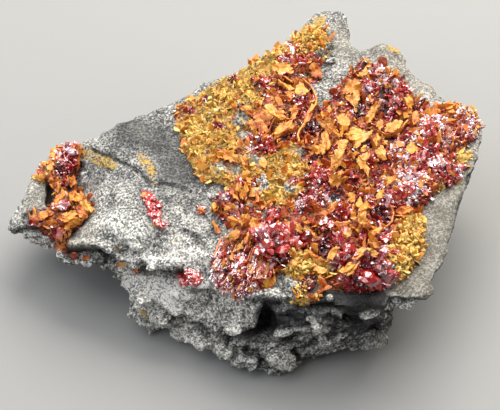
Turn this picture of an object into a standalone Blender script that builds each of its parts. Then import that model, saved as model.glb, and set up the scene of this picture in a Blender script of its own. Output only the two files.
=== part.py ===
"""A realgar specimen: a broken slab of grey limestone with realgar crystals grown on its upper side.

Metres, +Z up. The origin is on the floor, under the middle of the specimen's box. The slab rests on a flat
break on its underside, and its left lobe and right edge overhang.
"""

import math
import random

import bmesh
import bpy
from mathutils import Matrix, Vector, noise
from mathutils.bvhtree import BVHTree

MM = 0.001


def mm(*values):
    """A point given in millimetres, in metres."""
    return Vector(values) * MM


# ---- Driving dimensions -------------------------------------------------------------------------------------

GAP = 0.32 * MM  # between a crust and the stone it grows on
STONE_VOXEL = 1.05 * MM
STONE_TRIANGLES = 3300
WEATHER_SEED = 7
COLUMNS = 132  # points round each edge of the stone
PLATEAU_Z = 21.5 * MM  # height of the slab's upper side
LOBE_Z = 14.5 * MM
EDGE_ROUNDING = 5  # how late the upper side falls away to its edge

# The slab's upper edge, clockwise from above, starting where the left lobe joins it.
SLAB_CENTRE = mm(-2, -2, 0)
SLAB_TOP = [
    mm(-35, 10, 19.5),
    mm(-30, 12, 20.5),
    mm(-27.5, 14, 21),
    mm(-20, 17.5, 21),
    mm(-15, 20, 21.5),
    mm(-10, 24.5, 22),
    mm(2.5, 31.5, 22),
    mm(12.5, 41.5, 22),
    mm(16, 44, 22),  # back peak
    mm(18.5, 42.5, 22),
    mm(22, 35, 22),
    mm(23, 33, 22),  # notch between the back peak and the second tooth
    mm(28.5, 35, 22),
    mm(35, 27, 22),
    mm(38, 21, 22),
    mm(37.5, 18.5, 21.5),  # notch before the right-hand tooth
    mm(40.5, 20, 22),
    mm(47, 15.5, 21.5),
    mm(47.5, 11.5, 21),
    mm(43, -1, 21),
    mm(36, -20.5, 20.5),
    mm(33, -28, 20),  # front right corner
    mm(26.5, -29, 20),
    mm(15, -29.5, 20),
    mm(9, -30, 19.5),
    mm(5.5, -28, 18.5),
    mm(-1.5, -25, 17),
    mm(-11.5, -21, 16),
    mm(-22, -17, 15),
    mm(-32, -16, 14),
    mm(-35, -13, 13.5),
    mm(-34.5, -9, 14),
    mm(-31, -4, 15.5),
    mm(-33.5, 4, 17),
]
SLAB_MIDDLE = [
    mm(-31.5, 8, 11),
    mm(-26, 12, 11),
    mm(-18, 16.5, 12),
    mm(-8, 23, 12),
    mm(2, 29.5, 12),
    mm(12, 39, 14),
    mm(17.5, 40.5, 15),
    mm(21, 32, 14),
    mm(29, 32, 14),
    mm(35, 23, 13),
    mm(43, 14.5, 15),
    mm(41, 3, 14),
    mm(33, -15, 14),
    mm(30, -25, 16),
    mm(22, -29.5, 11),
    mm(10, -31, 10),
    mm(2, -29.5, 9),
    mm(-8, -27, 9),
    mm(-16, -24, 10),
    mm(-22, -20.5, 10),
    mm(-26, -16, 9),
    mm(-32, -13, 9.5),
    mm(-31, -5, 10),
]
SLAB_LOW = [
    mm(-22, 8, 4.5),
    mm(-14, 13, 4),
    mm(-6, 19, 4),
    mm(3, 25, 4),
    mm(12, 33, 5),
    mm(18, 32, 5),
    mm(26, 26, 4),
    mm(34, 16, 4),
    mm(34, 4, 4),
    mm(29, -11, 4),
    mm(28, -21, 4),
    mm(25, -27, 3),
    mm(16, -28.8, 2.5),
    mm(7, -31, 1.5),
    mm(1, -31, 1.5),
    mm(-4, -29.8, 1.5),
    mm(-9, -27.8, 2),
    mm(-15, -25, 2.5),
    mm(-21.5, -21.5, 3),
    mm(-23.5, -15, 5.5),
    mm(-23, -4, 6),
]
UNDERCUT = 2.4 * MM  # how far the stone is cut back under the ledge at its front left
FOOT_SHARE = 0.86  # the underside's flat break, as a share of the low edge
FOOT_Z = -1.0 * MM  # it is cut off at the floor

# The left lobe, a thinner plate that hangs clear of the floor.
LOBE_CENTRE = mm(-38.5, 0, 0)
LOBE_TOP = [
    mm(-47, -5.5, 10),  # tip
    mm(-46, 0, 11.5),
    mm(-44, 5.5, 12.5),
    mm(-41.5, 11.5, 14.5),
    mm(-38.5, 14, 16.5),
    mm(-35.5, 13.5, 18),
    mm(-33, 10, 18.5),
    mm(-31.5, 0, 16),
    mm(-31, -12, 14),
    mm(-34, -15, 12.5),
    mm(-38.5, -10, 11),
    mm(-43, -7.5, 10.5),
]
LOBE_LOW = [
    mm(-44, -4.5, 8),
    mm(-42.5, 4, 9.5),
    mm(-38, 10.5, 12),
    mm(-33, 8, 10),
    mm(-30, 0, 8),
    mm(-30, -11, 8),
    mm(-37, -9, 8),
]
LOBE_FOOT_Z = 7.5 * MM

# Steps on the upper side, which stands higher on the left of each line: (from, to, height, reach).
LEDGES = [
    (mm(-15, -3), mm(-33, 9.5), -0.9 * MM, 14 * MM),  # a flake is missing below this line
    (mm(-27.5, 15), mm(-24, 6), 0.5 * MM, 7 * MM),
    (mm(14, 42), mm(13, 21), -0.8 * MM, 6 * MM),
    (mm(24, 34), mm(31, 22), -0.6 * MM, 8 * MM),
]
LEDGE_EDGE = 0.4 * MM  # half the width of a step's own slope
# Ridges on the upper side, or troughs where the rise is below zero: (from, to, rise, width).
RIDGES = [
    (mm(-25, -4), mm(-23, -4), 0.7 * MM, 9 * MM),  # a low swell at the left
    (mm(-10, -15), mm(-3, -11), -1.1 * MM, 1.6 * MM),
    (mm(-36.8, 13), mm(-36.5, 1), -0.9 * MM, 3.0 * MM),  # the lobe's trough
    (mm(-36.5, 1), mm(-38.5, -8), -0.9 * MM, 3.0 * MM),
    (mm(-39.8, -0.6), mm(-39.2, -1.6), -2.0 * MM, 1.3 * MM),  # the lobe's deep pit
    (mm(38, 22), mm(33, 16), -1.0 * MM, 1.2 * MM),
]
# Lumps of the walls, or hollows where the rise is below zero: (from, to, rise, width).
LUMPS = [
    (mm(2, -27, 15.5), mm(-4.6, -27.8, 7.7), 1.5 * MM, 1.7 * MM),  # the slanting rib at the front
    (mm(3.6, -27.5, 11.5), mm(-2, -29, 5.8), -1.5 * MM, 1.6 * MM),  # the shadow under it
    (mm(-9.6, -24.9, 11), mm(-7, -26.5, 7), -1.5 * MM, 2.4 * MM),
    (mm(-4.8, -29.4, 4.2), mm(-3, -29.4, 3.6), 1.2 * MM, 2.0 * MM),
    (mm(-0.6, -30.5, 1.8), mm(0.6, -30.5, 1.8), 1.7 * MM, 1.5 * MM),  # two lumps that reach the floor
    (mm(4.9, -30.5, 2.0), mm(6.5, -30.5, 2.0), 1.9 * MM, 1.8 * MM),
    (mm(3, -27, 17.6), mm(6, -27.3, 17.8), 1.6 * MM, 1.9 * MM),  # a knob under the upper edge
    (mm(28, -22.5, 9), mm(27, -27, 13), -2.4 * MM, 2.4 * MM),  # the wedge-shaped gap at the right corner
]

# How broken the stone is: (depth, size of each break).
SIDE_BREAKS = [(1.7 * MM, 8 * MM), (0.8 * MM, 3.6 * MM)]
UNDER_BREAKS = (0.8 * MM, 7 * MM)
SIDE_WAVES = (0.5 * MM, 5 * MM)
UPPER_WAVES = (0.22 * MM, 6 * MM)
BREAK_TILT = 2.4
BED_DEPTH = 0.6 * MM  # how far the hard beds stand out
BED_STEP = 5.2 * MM  # from one hard bed to the next
BED_CLIMB = 0.34  # how much the beds rise to the right

# Edges of the realgar crusts, seen from above.
FIELD_EDGE = [
    mm(-14, 18.2),
    mm(-9, 23),
    mm(-3, 27.2),
    mm(2.5, 30),
    mm(12.5, 39.5),
    mm(15.2, 41.2),
    mm(16.8, 33.5),
    mm(13.6, 21.5),
    mm(19.5, 27),
    mm(24.5, 31),
    mm(30.5, 25),
    mm(35, 18),
    mm(40.5, 19),
    mm(46, 14.5),
    mm(46.3, 11),
    mm(42.5, 0),
    mm(37, -4.5),
    mm(33, -10),
    mm(32.5, -17),
    mm(29.5, -23),
    mm(23, -25.8),
    mm(11.5, -27.2),
    mm(5, -25.6),
    mm(-4.5, -25),
    mm(-7, -22),
    mm(-4, -15.5),
    mm(-6.4, -9),
    mm(-5, -3),
    mm(-9, 1.8),
    mm(-14, 12),
]
LOBE_CRUST_EDGE = [
    mm(-41.2, 7.5),
    mm(-39.6, 11.8),
    mm(-36.8, 13),
    mm(-35.4, 11),
    mm(-35.2, 3),
    mm(-32.4, -4),
    mm(-32.2, -8.5),
    mm(-33.8, -12.6),
    mm(-36.4, -11.4),
    mm(-43, -7),
    mm(-39, -2.5),
    mm(-41.8, 3),
]
RAGGED_STEP = 3.4 * MM
RAGGED_DEPTH = 1.9 * MM
FIELD_BED = 1.0 * MM  # thickness of the fine-grained bed that the crystals stand in
FIELD_LOWEST = 16.5 * MM
LOBE_BED = 0.9 * MM
LOBE_LOWEST = 10.5 * MM

# Crystals stand in patches: (x, y, radius, how many, kind).
RED, ORANGE, FINE = "red", "orange", "fine"
FIELD_PATCHES = [
    (25, 25, 6.5, 7, RED),
    (34, 13.5, 5, 5, RED),
    (42, 12, 4.5, 5, RED),
    (37, 3, 6, 6, RED),
    (30, -2, 6.5, 6, RED),
    (22, -7, 4, 3, RED),
    (23, -23, 5, 5, RED),
    (14, -14, 6, 5, RED),
    (3, -16, 6, 6, RED),
    (-2, -22, 5, 6, RED),
    (9, -2, 4.5, 4, RED),
    (2, 1, 3.5, 3, RED),
    (15, 17, 4.5, 4, RED),
    (12, 9, 3.5, 3, RED),
    (-3.8, -6.6, 3, 3, RED),
    (8, 22, 3, 2, RED),
    (7, 11, 6, 6, ORANGE),
    (19, 10, 6.5, 7, ORANGE),
    (26, 7, 6.5, 6, ORANGE),
    (19, 22, 3.5, 2, ORANGE),
    (30, 17, 4, 3, ORANGE),
    (18, -9, 8, 7, ORANGE),
    (8, -20, 6, 4, ORANGE),
    (-2.4, -12, 4.4, 6, ORANGE),
    (17, 1, 5, 4, ORANGE),
    (26, -14, 4.5, 3, ORANGE),
    (-4, 12, 9, 5, FINE),
    (4, 25, 7, 4, FINE),
    (12, 33, 5, 2, FINE),
    (29, -17, 4, 2, FINE),
    (14, -24, 6, 2, FINE),
]
LOBE_PATCHES = [
    (-36.6, 9.5, 2.6, 4, RED),
    (-36.8, 4, 2.6, 4, RED),
    (-36.2, -2, 2.4, 3, RED),
    (-37.5, -7.5, 3.2, 4, RED),
    (-33.6, -5.5, 2.2, 3, ORANGE),
    (-34.4, -11, 2.2, 3, ORANGE),
]
# Each kind: (sides, least radius, most radius, least height, most height, flatness, lean in degrees).
CRYSTAL_KINDS = {
    RED: (4, 1.9 * MM, 3.2 * MM, 2.6 * MM, 4.3 * MM, 0.8, 38),
    ORANGE: (4, 2.4 * MM, 4.2 * MM, 3.0 * MM, 4.6 * MM, 0.27, 58),
    FINE: (4, 1.4 * MM, 2.2 * MM, 1.9 * MM, 2.7 * MM, 0.35, 50),
}
CRYSTAL_TOP = 0.62  # a crystal's upper end, as a share of its radius
STEEPEST = 0.6  # crystals stand where the stone faces up at least this much
FIELD_SIZE = 1
FIELD_SEED = 1
LOBE_SIZE = 0.68  # crystals on the lobe are this much smaller
LOBE_SEED = 1

# Crystals that stand alone on the bare stone: (name, x, y, [(dx, dy, radius, height, lean, turn), ...]).
LONE_CRYSTALS = [
    ("realgar_crystal_centre", -19.2, -6.8, [
        (-0.9, 2.9, 1.3, 1.5, 12, 100),
        (-0.5, 1.3, 1.6, 2.0, 12, 40),
        (0.1, -0.4, 1.6, 1.9, 10, 200),
        (0.6, -2.0, 1.5, 1.7, 12, 300),
        (1.0, -3.5, 1.1, 1.3, 14, 280),
    ]),
    ("realgar_crystal_front", -11.4, -20.3, [
        (-0.8, 0.0, 1.3, 1.4, 12, 180),
        (0.8, 0.3, 1.4, 1.5, 12, 20),
    ]),
    ("realgar_crystal_side", -10.0, -8.7, [
        (-0.8, 0.2, 1.0, 1.0, 12, 150),
        (0.2, -0.2, 1.0, 1.1, 12, 330),
    ]),
]
LONE_SIDES = 5
LONE_FLATNESS = 0.85
ROOT = 0.6 * MM  # how far a crystal reaches down into the stone, before it is cut to it

# Colours, linear RGB.
STONE_COLOUR = (0.30, 0.29, 0.27, 1)
REALGAR_COLOUR = (0.42, 0.04, 0.015, 1)
PARAREALGAR_COLOUR = (0.72, 0.30, 0.05, 1)


# ---- Scene helpers ------------------------------------------------------------------------------------------


def clear_scene():
    for obj in list(bpy.data.objects):
        bpy.data.objects.remove(obj)


def collection(name):
    made = bpy.data.collections.new(name)
    bpy.context.scene.collection.children.link(made)
    return made


def material(name, colour, roughness):
    made = bpy.data.materials.new(name)
    made.use_nodes = True
    shader = made.node_tree.nodes["Principled BSDF"]
    shader.inputs["Base Color"].default_value = colour
    shader.inputs["Roughness"].default_value = roughness
    return made


def object_from(name, bm, into):
    """A new mesh object that holds bm, which is freed."""
    mesh = bpy.data.meshes.new(name)
    bm.to_mesh(mesh)
    bm.free()
    obj = bpy.data.objects.new(name, mesh)
    into.objects.link(obj)
    return obj


def applied(obj):
    """obj with its modifiers made part of its mesh."""
    graph = bpy.context.evaluated_depsgraph_get()
    mesh = bpy.data.meshes.new_from_object(obj.evaluated_get(graph))
    obj.modifiers.clear()
    obj.data = mesh
    return obj


def boolean(obj, other, operation, within=False):
    modifier = obj.modifiers.new(operation.lower(), "BOOLEAN")
    modifier.operation = operation
    modifier.object = other
    modifier.use_self = within
    return applied(obj)


def bmesh_of(obj):
    bm = bmesh.new()
    bm.from_mesh(obj.data)
    return bm


# ---- The stone ----------------------------------------------------------------------------------------------


def edge_points(outline, centre):
    """COLUMNS points where rays from centre, evenly turned, cross the outline."""
    points = []
    for column in range(COLUMNS):
        turn = -math.tau * column / COLUMNS
        ray = Vector((math.cos(turn), math.sin(turn)))
        crossing = None
        for a, b in zip(outline, outline[1:] + outline[:1]):
            along = (b - a).xy
            start = (a - centre).xy
            across = ray.cross(along)
            if abs(across) < 1e-12:
                continue
            reach = start.cross(along) / across
            share = start.cross(ray) / across
            if reach > 0 and 0 <= share <= 1:
                crossing = a.lerp(b, share)
        points.append(crossing)
    return points


def brow(top, middle):
    """A row just under the upper edge, cut back under the ledge at the front left."""
    row = []
    for a, b in zip(top, middle):
        p = a.lerp(b, 0.32)
        depth = UNDERCUT * smoothstep(-p.x, 2 * MM, 8 * MM) * smoothstep(-p.y, 3 * MM, 9 * MM)
        inward = (SLAB_CENTRE - p).xy.normalized() * depth
        row.append(p + inward.to_3d())
    return row


def loft(bm, centre, crown, edges, foot):
    """A closed block from the crown, the height of its top, down through its edges to a flat foot."""
    rows = []
    top = edges[0]
    for step in range(1, 10):
        share = step / 10
        row = []
        for p in top:
            spot = centre.lerp(p, share)
            spot.z = crown + (p.z - crown) * share**EDGE_ROUNDING
            row.append(spot)
        rows.append(row)
    for upper, lower in zip(edges, edges[1:]):
        for step in range(4):
            rows.append([a.lerp(b, step / 4) for a, b in zip(upper, lower)])
    rows.append(edges[-1])
    for share in (FOOT_SHARE, 0.6, 0.3):
        row = []
        for p in edges[-1]:
            spot = centre.lerp(p, share)
            spot.z = foot
            row.append(spot)
        rows.append(row)
    rings = [[bm.verts.new(p) for p in row] for row in rows]
    for upper, lower in zip(rings, rings[1:]):
        for i in range(COLUMNS):
            j = (i + 1) % COLUMNS
            bm.faces.new((upper[i], upper[j], lower[j], lower[i]))
    for ring, height in ((rings[0], crown), (rings[-1], foot)):
        hub = bm.verts.new((centre.x, centre.y, height))
        for i in range(COLUMNS):
            bm.faces.new((hub, ring[(i + 1) % COLUMNS], ring[i]))
    bmesh.ops.recalc_face_normals(bm, faces=bm.faces)


def smoothstep(value, low, high):
    t = min(1, max(0, (value - low) / (high - low)))
    return t * t * (3 - 2 * t)


def ledge(p, a, b, height, reach):
    """A step that stands up on the left of the line from a to b, and fades out over reach."""
    along = b - a
    left = along.cross(p - a) / along.length
    share = along.dot(p - a) / along.length_squared
    ends = smoothstep(share, -0.15, 0.1) * (1 - smoothstep(share, 0.9, 1.15))
    step = smoothstep(left, -LEDGE_EDGE, LEDGE_EDGE) * (1 - smoothstep(left, 0.3 * reach, reach))
    return height * step * ends


def swell(p, a, b, rise, width):
    """A rounded rise along the line from a to b."""
    along = b - a
    share = min(1, max(0, along.dot(p - a) / along.length_squared))
    away = (p - a - share * along).length
    return rise * math.exp(-((away / width) ** 2))


def chips(p, depth, size):
    """Broken faces: the surface of each cell of a size has its own tilt."""
    at = p / size
    near = noise.voronoi(at)[1][0]
    tilt = noise.noise_vector(near * 7.31 + Vector((3.1, 1.7, 9.2)))
    return depth * max(-1, min(1, BREAK_TILT * tilt.dot(at - near)))


def waves(p, depth, size):
    return depth * noise.noise(p / size)


def beds(p):
    """The bedding, which climbs to the right: hard beds stand out, and soft ones are worn back."""
    height = p.z - BED_CLIMB * p.x
    return BED_DEPTH * math.sin(height * math.tau / BED_STEP + waves(p, 1.5, 9 * MM))


def weather(bm):
    """Moves the plain block's surface to the broken one."""
    noise.seed_set(WEATHER_SEED)
    bm.normal_update()
    moved = []
    for v in bm.verts:
        p = v.co
        n = v.normal
        side = 1 - abs(n.z)
        upper = smoothstep(n.z, 0.35, 0.85)
        under = smoothstep(-n.z, 0.3, 0.9)
        front = smoothstep(-n.y, 0.2, 0.8)
        out = side * sum(chips(p, *breaks) for breaks in SIDE_BREAKS) + under * chips(p, *UNDER_BREAKS)
        out += side * front * beds(p)
        out += (side + under) * waves(p, *SIDE_WAVES) + upper * waves(p, *UPPER_WAVES)
        out += (1 - upper) * sum(swell(p, *lump) for lump in LUMPS)
        rise = sum(ledge(p.xy, *line) for line in LEDGES) + sum(swell(p.xy, *line) for line in RIDGES)
        moved.append((v, p + n * out + Vector((0, 0, upper * rise))))
    for v, place in moved:
        v.co = place


def even_faces(obj):
    """obj made of small faces of one size, with no folds that cross."""
    remesh = obj.modifiers.new("even_faces", "REMESH")
    remesh.mode = "VOXEL"
    remesh.voxel_size = STONE_VOXEL
    return applied(obj)


def made_stone(into):
    top, middle, low = (edge_points(edge, SLAB_CENTRE) for edge in (SLAB_TOP, SLAB_MIDDLE, SLAB_LOW))
    bm = bmesh.new()
    loft(bm, SLAB_CENTRE, PLATEAU_Z, [top, brow(top, middle), middle, low], FOOT_Z)
    slab = object_from("matrix", bm, into)
    bm = bmesh.new()
    loft(bm, LOBE_CENTRE, LOBE_Z, [edge_points(e, LOBE_CENTRE) for e in (LOBE_TOP, LOBE_LOW)], LOBE_FOOT_Z)
    lobe = object_from("left_lobe", bm, into)
    stone = boolean(slab, lobe, "UNION")
    bpy.data.objects.remove(lobe)
    bm = bmesh_of(even_faces(stone))
    weather(bm)
    bm.to_mesh(stone.data)
    bm.free()
    even_faces(stone)
    simpler = stone.modifiers.new("flat_breaks", "DECIMATE")
    simpler.ratio = STONE_TRIANGLES / (2 * len(stone.data.polygons))
    bm = bmesh_of(applied(stone))
    everything = bm.verts[:] + bm.edges[:] + bm.faces[:]
    down = (0, 0, -1)
    cut = bmesh.ops.bisect_plane(bm, geom=everything, plane_co=(0, 0, 0), plane_no=down, clear_outer=True)
    rim = [e for e in cut["geom_cut"] if isinstance(e, bmesh.types.BMEdge)]
    bmesh.ops.triangle_fill(bm, edges=rim, use_beauty=True)
    bmesh.ops.recalc_face_normals(bm, faces=bm.faces)
    bm.to_mesh(stone.data)
    bm.free()
    return stone


# ---- The crystals -------------------------------------------------------------------------------------------


def ground_at(tree, spot):
    """Where a plumb line meets the stone's upper side, and the way it faces there."""
    place, normal, _, _ = tree.ray_cast(Vector((spot.x, spot.y, 2 * PLATEAU_Z)), Vector((0, 0, -1)))
    return place, normal


def add_crystal(bm, place, axis, turn, sides, radius, height, flatness):
    """A tapered prism, flattened across, that grows from the stone at place along axis."""
    upright = axis.to_track_quat("Z", "Y").to_matrix().to_4x4()
    middle = place + axis * (height - ROOT) / 2
    matrix = Matrix.Translation(middle) @ upright @ Matrix.Rotation(turn, 4, "Z")
    matrix @= Matrix.Diagonal((1, flatness, 1, 1))
    bmesh.ops.create_cone(bm, cap_ends=True, segments=sides, radius1=radius,
                          radius2=CRYSTAL_TOP * radius, depth=height + ROOT, matrix=matrix)


def grow(tree, patches, size, seed):
    """One mesh of all the crystals of these patches. They still cross each other."""
    pick = random.Random(seed)
    bm = bmesh.new()
    for x, y, reach, count, kind in patches:
        sides, least_r, most_r, least_h, most_h, flatness, lean = CRYSTAL_KINDS[kind]
        for _ in range(count):
            away = reach * math.sqrt(pick.random())
            bearing = pick.uniform(0, math.tau)
            spot = mm(x, y) + away * MM * Vector((math.cos(bearing), math.sin(bearing)))
            place, normal = ground_at(tree, spot)
            radius = size * pick.uniform(least_r, most_r)
            height = size * pick.uniform(least_h, most_h)
            tilt = Matrix.Rotation(math.radians(lean) * math.sqrt(pick.random()), 3, "X")
            heading = Matrix.Rotation(pick.uniform(0, math.tau), 3, "Z")
            turn = pick.uniform(0, math.tau)
            if place is None or normal.z < STEEPEST:
                continue
            axis = (normal + Vector((0, 0, 1))).normalized()
            frame = axis.to_track_quat("Z", "Y").to_matrix()
            growth = frame @ heading @ tilt @ Vector((0, 0, 1))
            add_crystal(bm, place, growth, turn, sides, radius, height, flatness)
    return bm


def ragged(outline):
    """The outline with its straight stretches broken up, the way a crust ends."""
    points = []
    for a, b in zip(outline, outline[1:] + outline[:1]):
        steps = max(1, round((b - a).length / RAGGED_STEP))
        across = (b - a).orthogonal().normalized()
        for step in range(steps):
            p = a.lerp(b, step / steps)
            points.append(p + across * RAGGED_DEPTH * noise.noise(p.to_3d() / RAGGED_STEP))
    return points


def prism(name, outline, low, high, into):
    """The outline as a tall block from low to high."""
    curve = bpy.data.curves.new(name, "CURVE")
    curve.dimensions = "2D"
    curve.fill_mode = "BOTH"
    curve.extrude = (high - low) / 2
    spline = curve.splines.new("POLY")
    spline.points.add(len(outline) - 1)
    for point, place in zip(spline.points, outline):
        point.co = (place.x, place.y, 0, 1)
    spline.use_cyclic_u = True
    flat = bpy.data.objects.new(name, curve)
    into.objects.link(flat)
    bpy.context.view_layer.update()
    mesh = bpy.data.meshes.new_from_object(flat.evaluated_get(bpy.context.evaluated_depsgraph_get()))
    bpy.data.objects.remove(flat)
    bm = bmesh.new()
    bm.from_mesh(mesh)
    bmesh.ops.remove_doubles(bm, verts=bm.verts, dist=1e-6)
    bmesh.ops.translate(bm, verts=bm.verts, vec=(0, 0, (low + high) / 2))
    bmesh.ops.recalc_face_normals(bm, faces=bm.faces)
    return object_from(name, bm, into)


def keep_largest(obj):
    """Leaves only the largest closed body: drops cut-off chips, and fills voids that crystals shut in."""
    bm = bmesh_of(obj)
    bmesh.ops.triangulate(bm, faces=bm.faces)
    bm.faces.ensure_lookup_table()
    todo = set(bm.faces)
    islands = []
    while todo:
        island = [todo.pop()]
        for face in island:
            for edge in face.edges:
                for other in edge.link_faces:
                    if other in todo:
                        todo.remove(other)
                        island.append(other)
        volume = 0
        for face in island:
            a, b, c = (v.co for v in face.verts)
            volume += a.dot(b.cross(c)) / 6
        islands.append((volume, island))
    islands.sort(key=lambda pair: pair[0])
    extra = [face for _, island in islands[:-1] for face in island]
    bmesh.ops.delete(bm, geom=extra, context="FACES")
    bm.to_mesh(obj.data)
    bm.free()
    return obj


def moved(stone, by, into):
    """A copy of the stone, moved by a vector."""
    bm = bmesh_of(stone)
    bm.transform(Matrix.Translation(by))
    return object_from("moved_stone", bm, into)


def seat(obj, stone, into):
    """Cuts obj back to its gap from the stone, above it and on every side."""
    for way in ((0, 0, 1), (1, 0, 0), (-1, 0, 0), (0, 1, 0), (0, -1, 0)):
        cutter = moved(stone, GAP * Vector(way), into)
        boolean(obj, cutter, "DIFFERENCE")
        bpy.data.objects.remove(cutter)
    return keep_largest(obj)


def made_crust(name, stone, outline, lowest, bed, crystals, into):
    """A bed of fine crystals in the outline, with larger ones standing in it, seated on the stone."""
    crust = prism(name, ragged(outline), lowest, 2 * PLATEAU_Z, into)
    for other, operation in ((moved(stone, Vector((0, 0, GAP + bed)), into), "INTERSECT"),
                             (object_from("crystals", crystals, into), "UNION")):
        boolean(crust, other, operation, within=operation == "UNION")
        bpy.data.objects.remove(other)
    return seat(crust, stone, into)


def made_lone(name, stone, tree, x, y, members, into):
    """A few crystals grown together, alone on bare stone."""
    crystals = []
    for dx, dy, radius, height, lean, turn in members:
        place, normal = ground_at(tree, mm(x + dx, y + dy))
        tilt = Matrix.Rotation(math.radians(turn), 3, "Z") @ Matrix.Rotation(math.radians(lean), 3, "Y")
        axis = (tilt @ Vector((0, 0, 1)) + normal).normalized()
        bm = bmesh.new()
        add_crystal(bm, place, axis, math.radians(turn), LONE_SIDES, radius * MM, height * MM, LONE_FLATNESS)
        crystals.append(object_from(name if not crystals else "member", bm, into))
    first = crystals[0]
    for other in crystals[1:]:
        boolean(first, other, "UNION")
        bpy.data.objects.remove(other)
    return seat(first, stone, into)


def centre_on_floor(objects):
    """Moves every mesh so that the origin is on the floor, under the middle of the whole box."""
    points = [v.co for obj in objects for v in obj.data.vertices]
    low = Vector([min(p[i] for p in points) for i in range(3)])
    high = Vector([max(p[i] for p in points) for i in range(3)])
    shift = Matrix.Translation((-(low.x + high.x) / 2, -(low.y + high.y) / 2, -low.z))
    for obj in objects:
        obj.data.transform(shift)


def main():
    clear_scene()
    specimen = collection("realgar")
    stone = made_stone(specimen)
    bm = bmesh_of(stone)
    tree = BVHTree.FromBMesh(bm)
    bm.free()
    crystals = [
        made_crust("realgar_field", stone, FIELD_EDGE, FIELD_LOWEST, FIELD_BED,
                   grow(tree, FIELD_PATCHES, FIELD_SIZE, FIELD_SEED), specimen),
        made_crust("realgar_lobe_crust", stone, LOBE_CRUST_EDGE, LOBE_LOWEST, LOBE_BED,
                   grow(tree, LOBE_PATCHES, LOBE_SIZE, LOBE_SEED), specimen),
    ]
    for name, x, y, members in LONE_CRYSTALS:
        crystals.append(made_lone(name, stone, tree, x, y, members, specimen))
    centre_on_floor([stone, *crystals])
    stone.data.materials.clear()
    stone.data.materials.append(material("limestone", STONE_COLOUR, 0.85))
    realgar = material("realgar", REALGAR_COLOUR, 0.25)
    altered = material("pararealgar_crust", PARAREALGAR_COLOUR, 0.6)
    for obj in crystals:
        obj.data.materials.clear()
        obj.data.materials.append(altered if obj.name == "realgar_field" else realgar)


main()
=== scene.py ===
import math
import random

import bmesh
import bpy
import numpy as np
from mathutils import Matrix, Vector, noise
from mathutils.bvhtree import BVHTree


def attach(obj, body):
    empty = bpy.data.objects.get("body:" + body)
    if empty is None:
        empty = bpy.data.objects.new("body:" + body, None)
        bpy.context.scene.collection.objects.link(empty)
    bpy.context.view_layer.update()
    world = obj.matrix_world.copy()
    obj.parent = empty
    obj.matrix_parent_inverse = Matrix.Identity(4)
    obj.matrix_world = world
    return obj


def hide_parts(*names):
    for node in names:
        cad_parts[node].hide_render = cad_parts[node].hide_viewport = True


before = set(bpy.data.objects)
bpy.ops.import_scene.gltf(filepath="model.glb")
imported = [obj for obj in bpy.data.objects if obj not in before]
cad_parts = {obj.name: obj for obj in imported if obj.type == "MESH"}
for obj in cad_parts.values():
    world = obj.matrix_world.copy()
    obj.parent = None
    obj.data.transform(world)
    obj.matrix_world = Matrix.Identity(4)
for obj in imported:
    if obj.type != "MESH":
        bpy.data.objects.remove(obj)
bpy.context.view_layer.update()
scene = bpy.context.scene
mm = 0.001

# every (across, down) place below is in the frame of this camera
view = {
    "aim": (0, -5.4, 12),  # mm
    "elevation": 52,
    "distance": 330,
    "frame": (500, 410),  # steps across and down
    "frameWidth": 100,  # mm across at the aim
    "sensor": 36,
    "search": 45,  # mm before and behind the aim where a line past an edge looks for the nearest place
}
highAbove = 60  # mm, over all of it
downwards = Vector((0, 0, -1))
aim = Vector(view["aim"]) * mm
up = math.radians(view["elevation"])
eye = aim + Vector((0, -math.cos(up), math.sin(up))) * view["distance"] * mm
eyeTurn = (aim - eye).to_track_quat("-Z", "Y")


def makeCamera():
    data = bpy.data.cameras.new("camera")
    data.sensor_width = view["sensor"]
    data.lens = view["sensor"] * view["distance"] / view["frameWidth"]
    data.clip_start = 0.01
    camera = bpy.data.objects.new("camera", data)
    camera.location = eye
    camera.rotation_mode = "QUATERNION"
    camera.rotation_quaternion = eyeTurn
    scene.collection.objects.link(camera)
    scene.camera = camera


# the line of sight through a place in the frame
def sight(across, down):
    wide, high = view["frame"]
    step = view["frameWidth"] / wide
    x, y = (across - wide / 2) * step, (high / 2 - down) * step
    return (eyeTurn @ Vector((x, y, -view["distance"]))).normalized()


# nodes and colours


def linear(colour):
    parts = [int(colour[i:i + 2], 16) / 255 for i in (1, 3, 5)]
    return (*[c / 12.92 if c <= 0.04045 else ((c + 0.055) / 1.055) ** 2.4 for c in parts], 1)


# adds a node with its settings; an input is a number, a colour or another node's output
def add(tree, kind, inputs=None, stops=None, **settings):
    node = tree.nodes.new(kind)
    for name, value in settings.items():
        setattr(node, name, value)
    if stops:
        ramp = node.color_ramp
        while len(ramp.elements) < len(stops):
            ramp.elements.new(1)
        for element, (place, colour) in zip(ramp.elements, stops):
            element.position = place
            element.color = linear(colour)
    for name, value in (inputs or {}).items():
        if isinstance(value, bpy.types.NodeSocket):
            tree.links.new(value, node.inputs[name])
        else:
            node.inputs[name].default_value = value
    return node


def newMaterial(name):
    material = bpy.data.materials.new(name)
    material.use_nodes = True
    material.node_tree.nodes.clear()
    tree = material.node_tree
    where = add(tree, "ShaderNodeTexCoord").outputs["Object"]
    shader = add(tree, "ShaderNodeBsdfPrincipled")
    add(tree, "ShaderNodeOutputMaterial", {"Surface": shader.outputs[0]})
    return material, tree, where, shader


def perMetre(size):
    return 1 / (size * mm)


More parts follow.
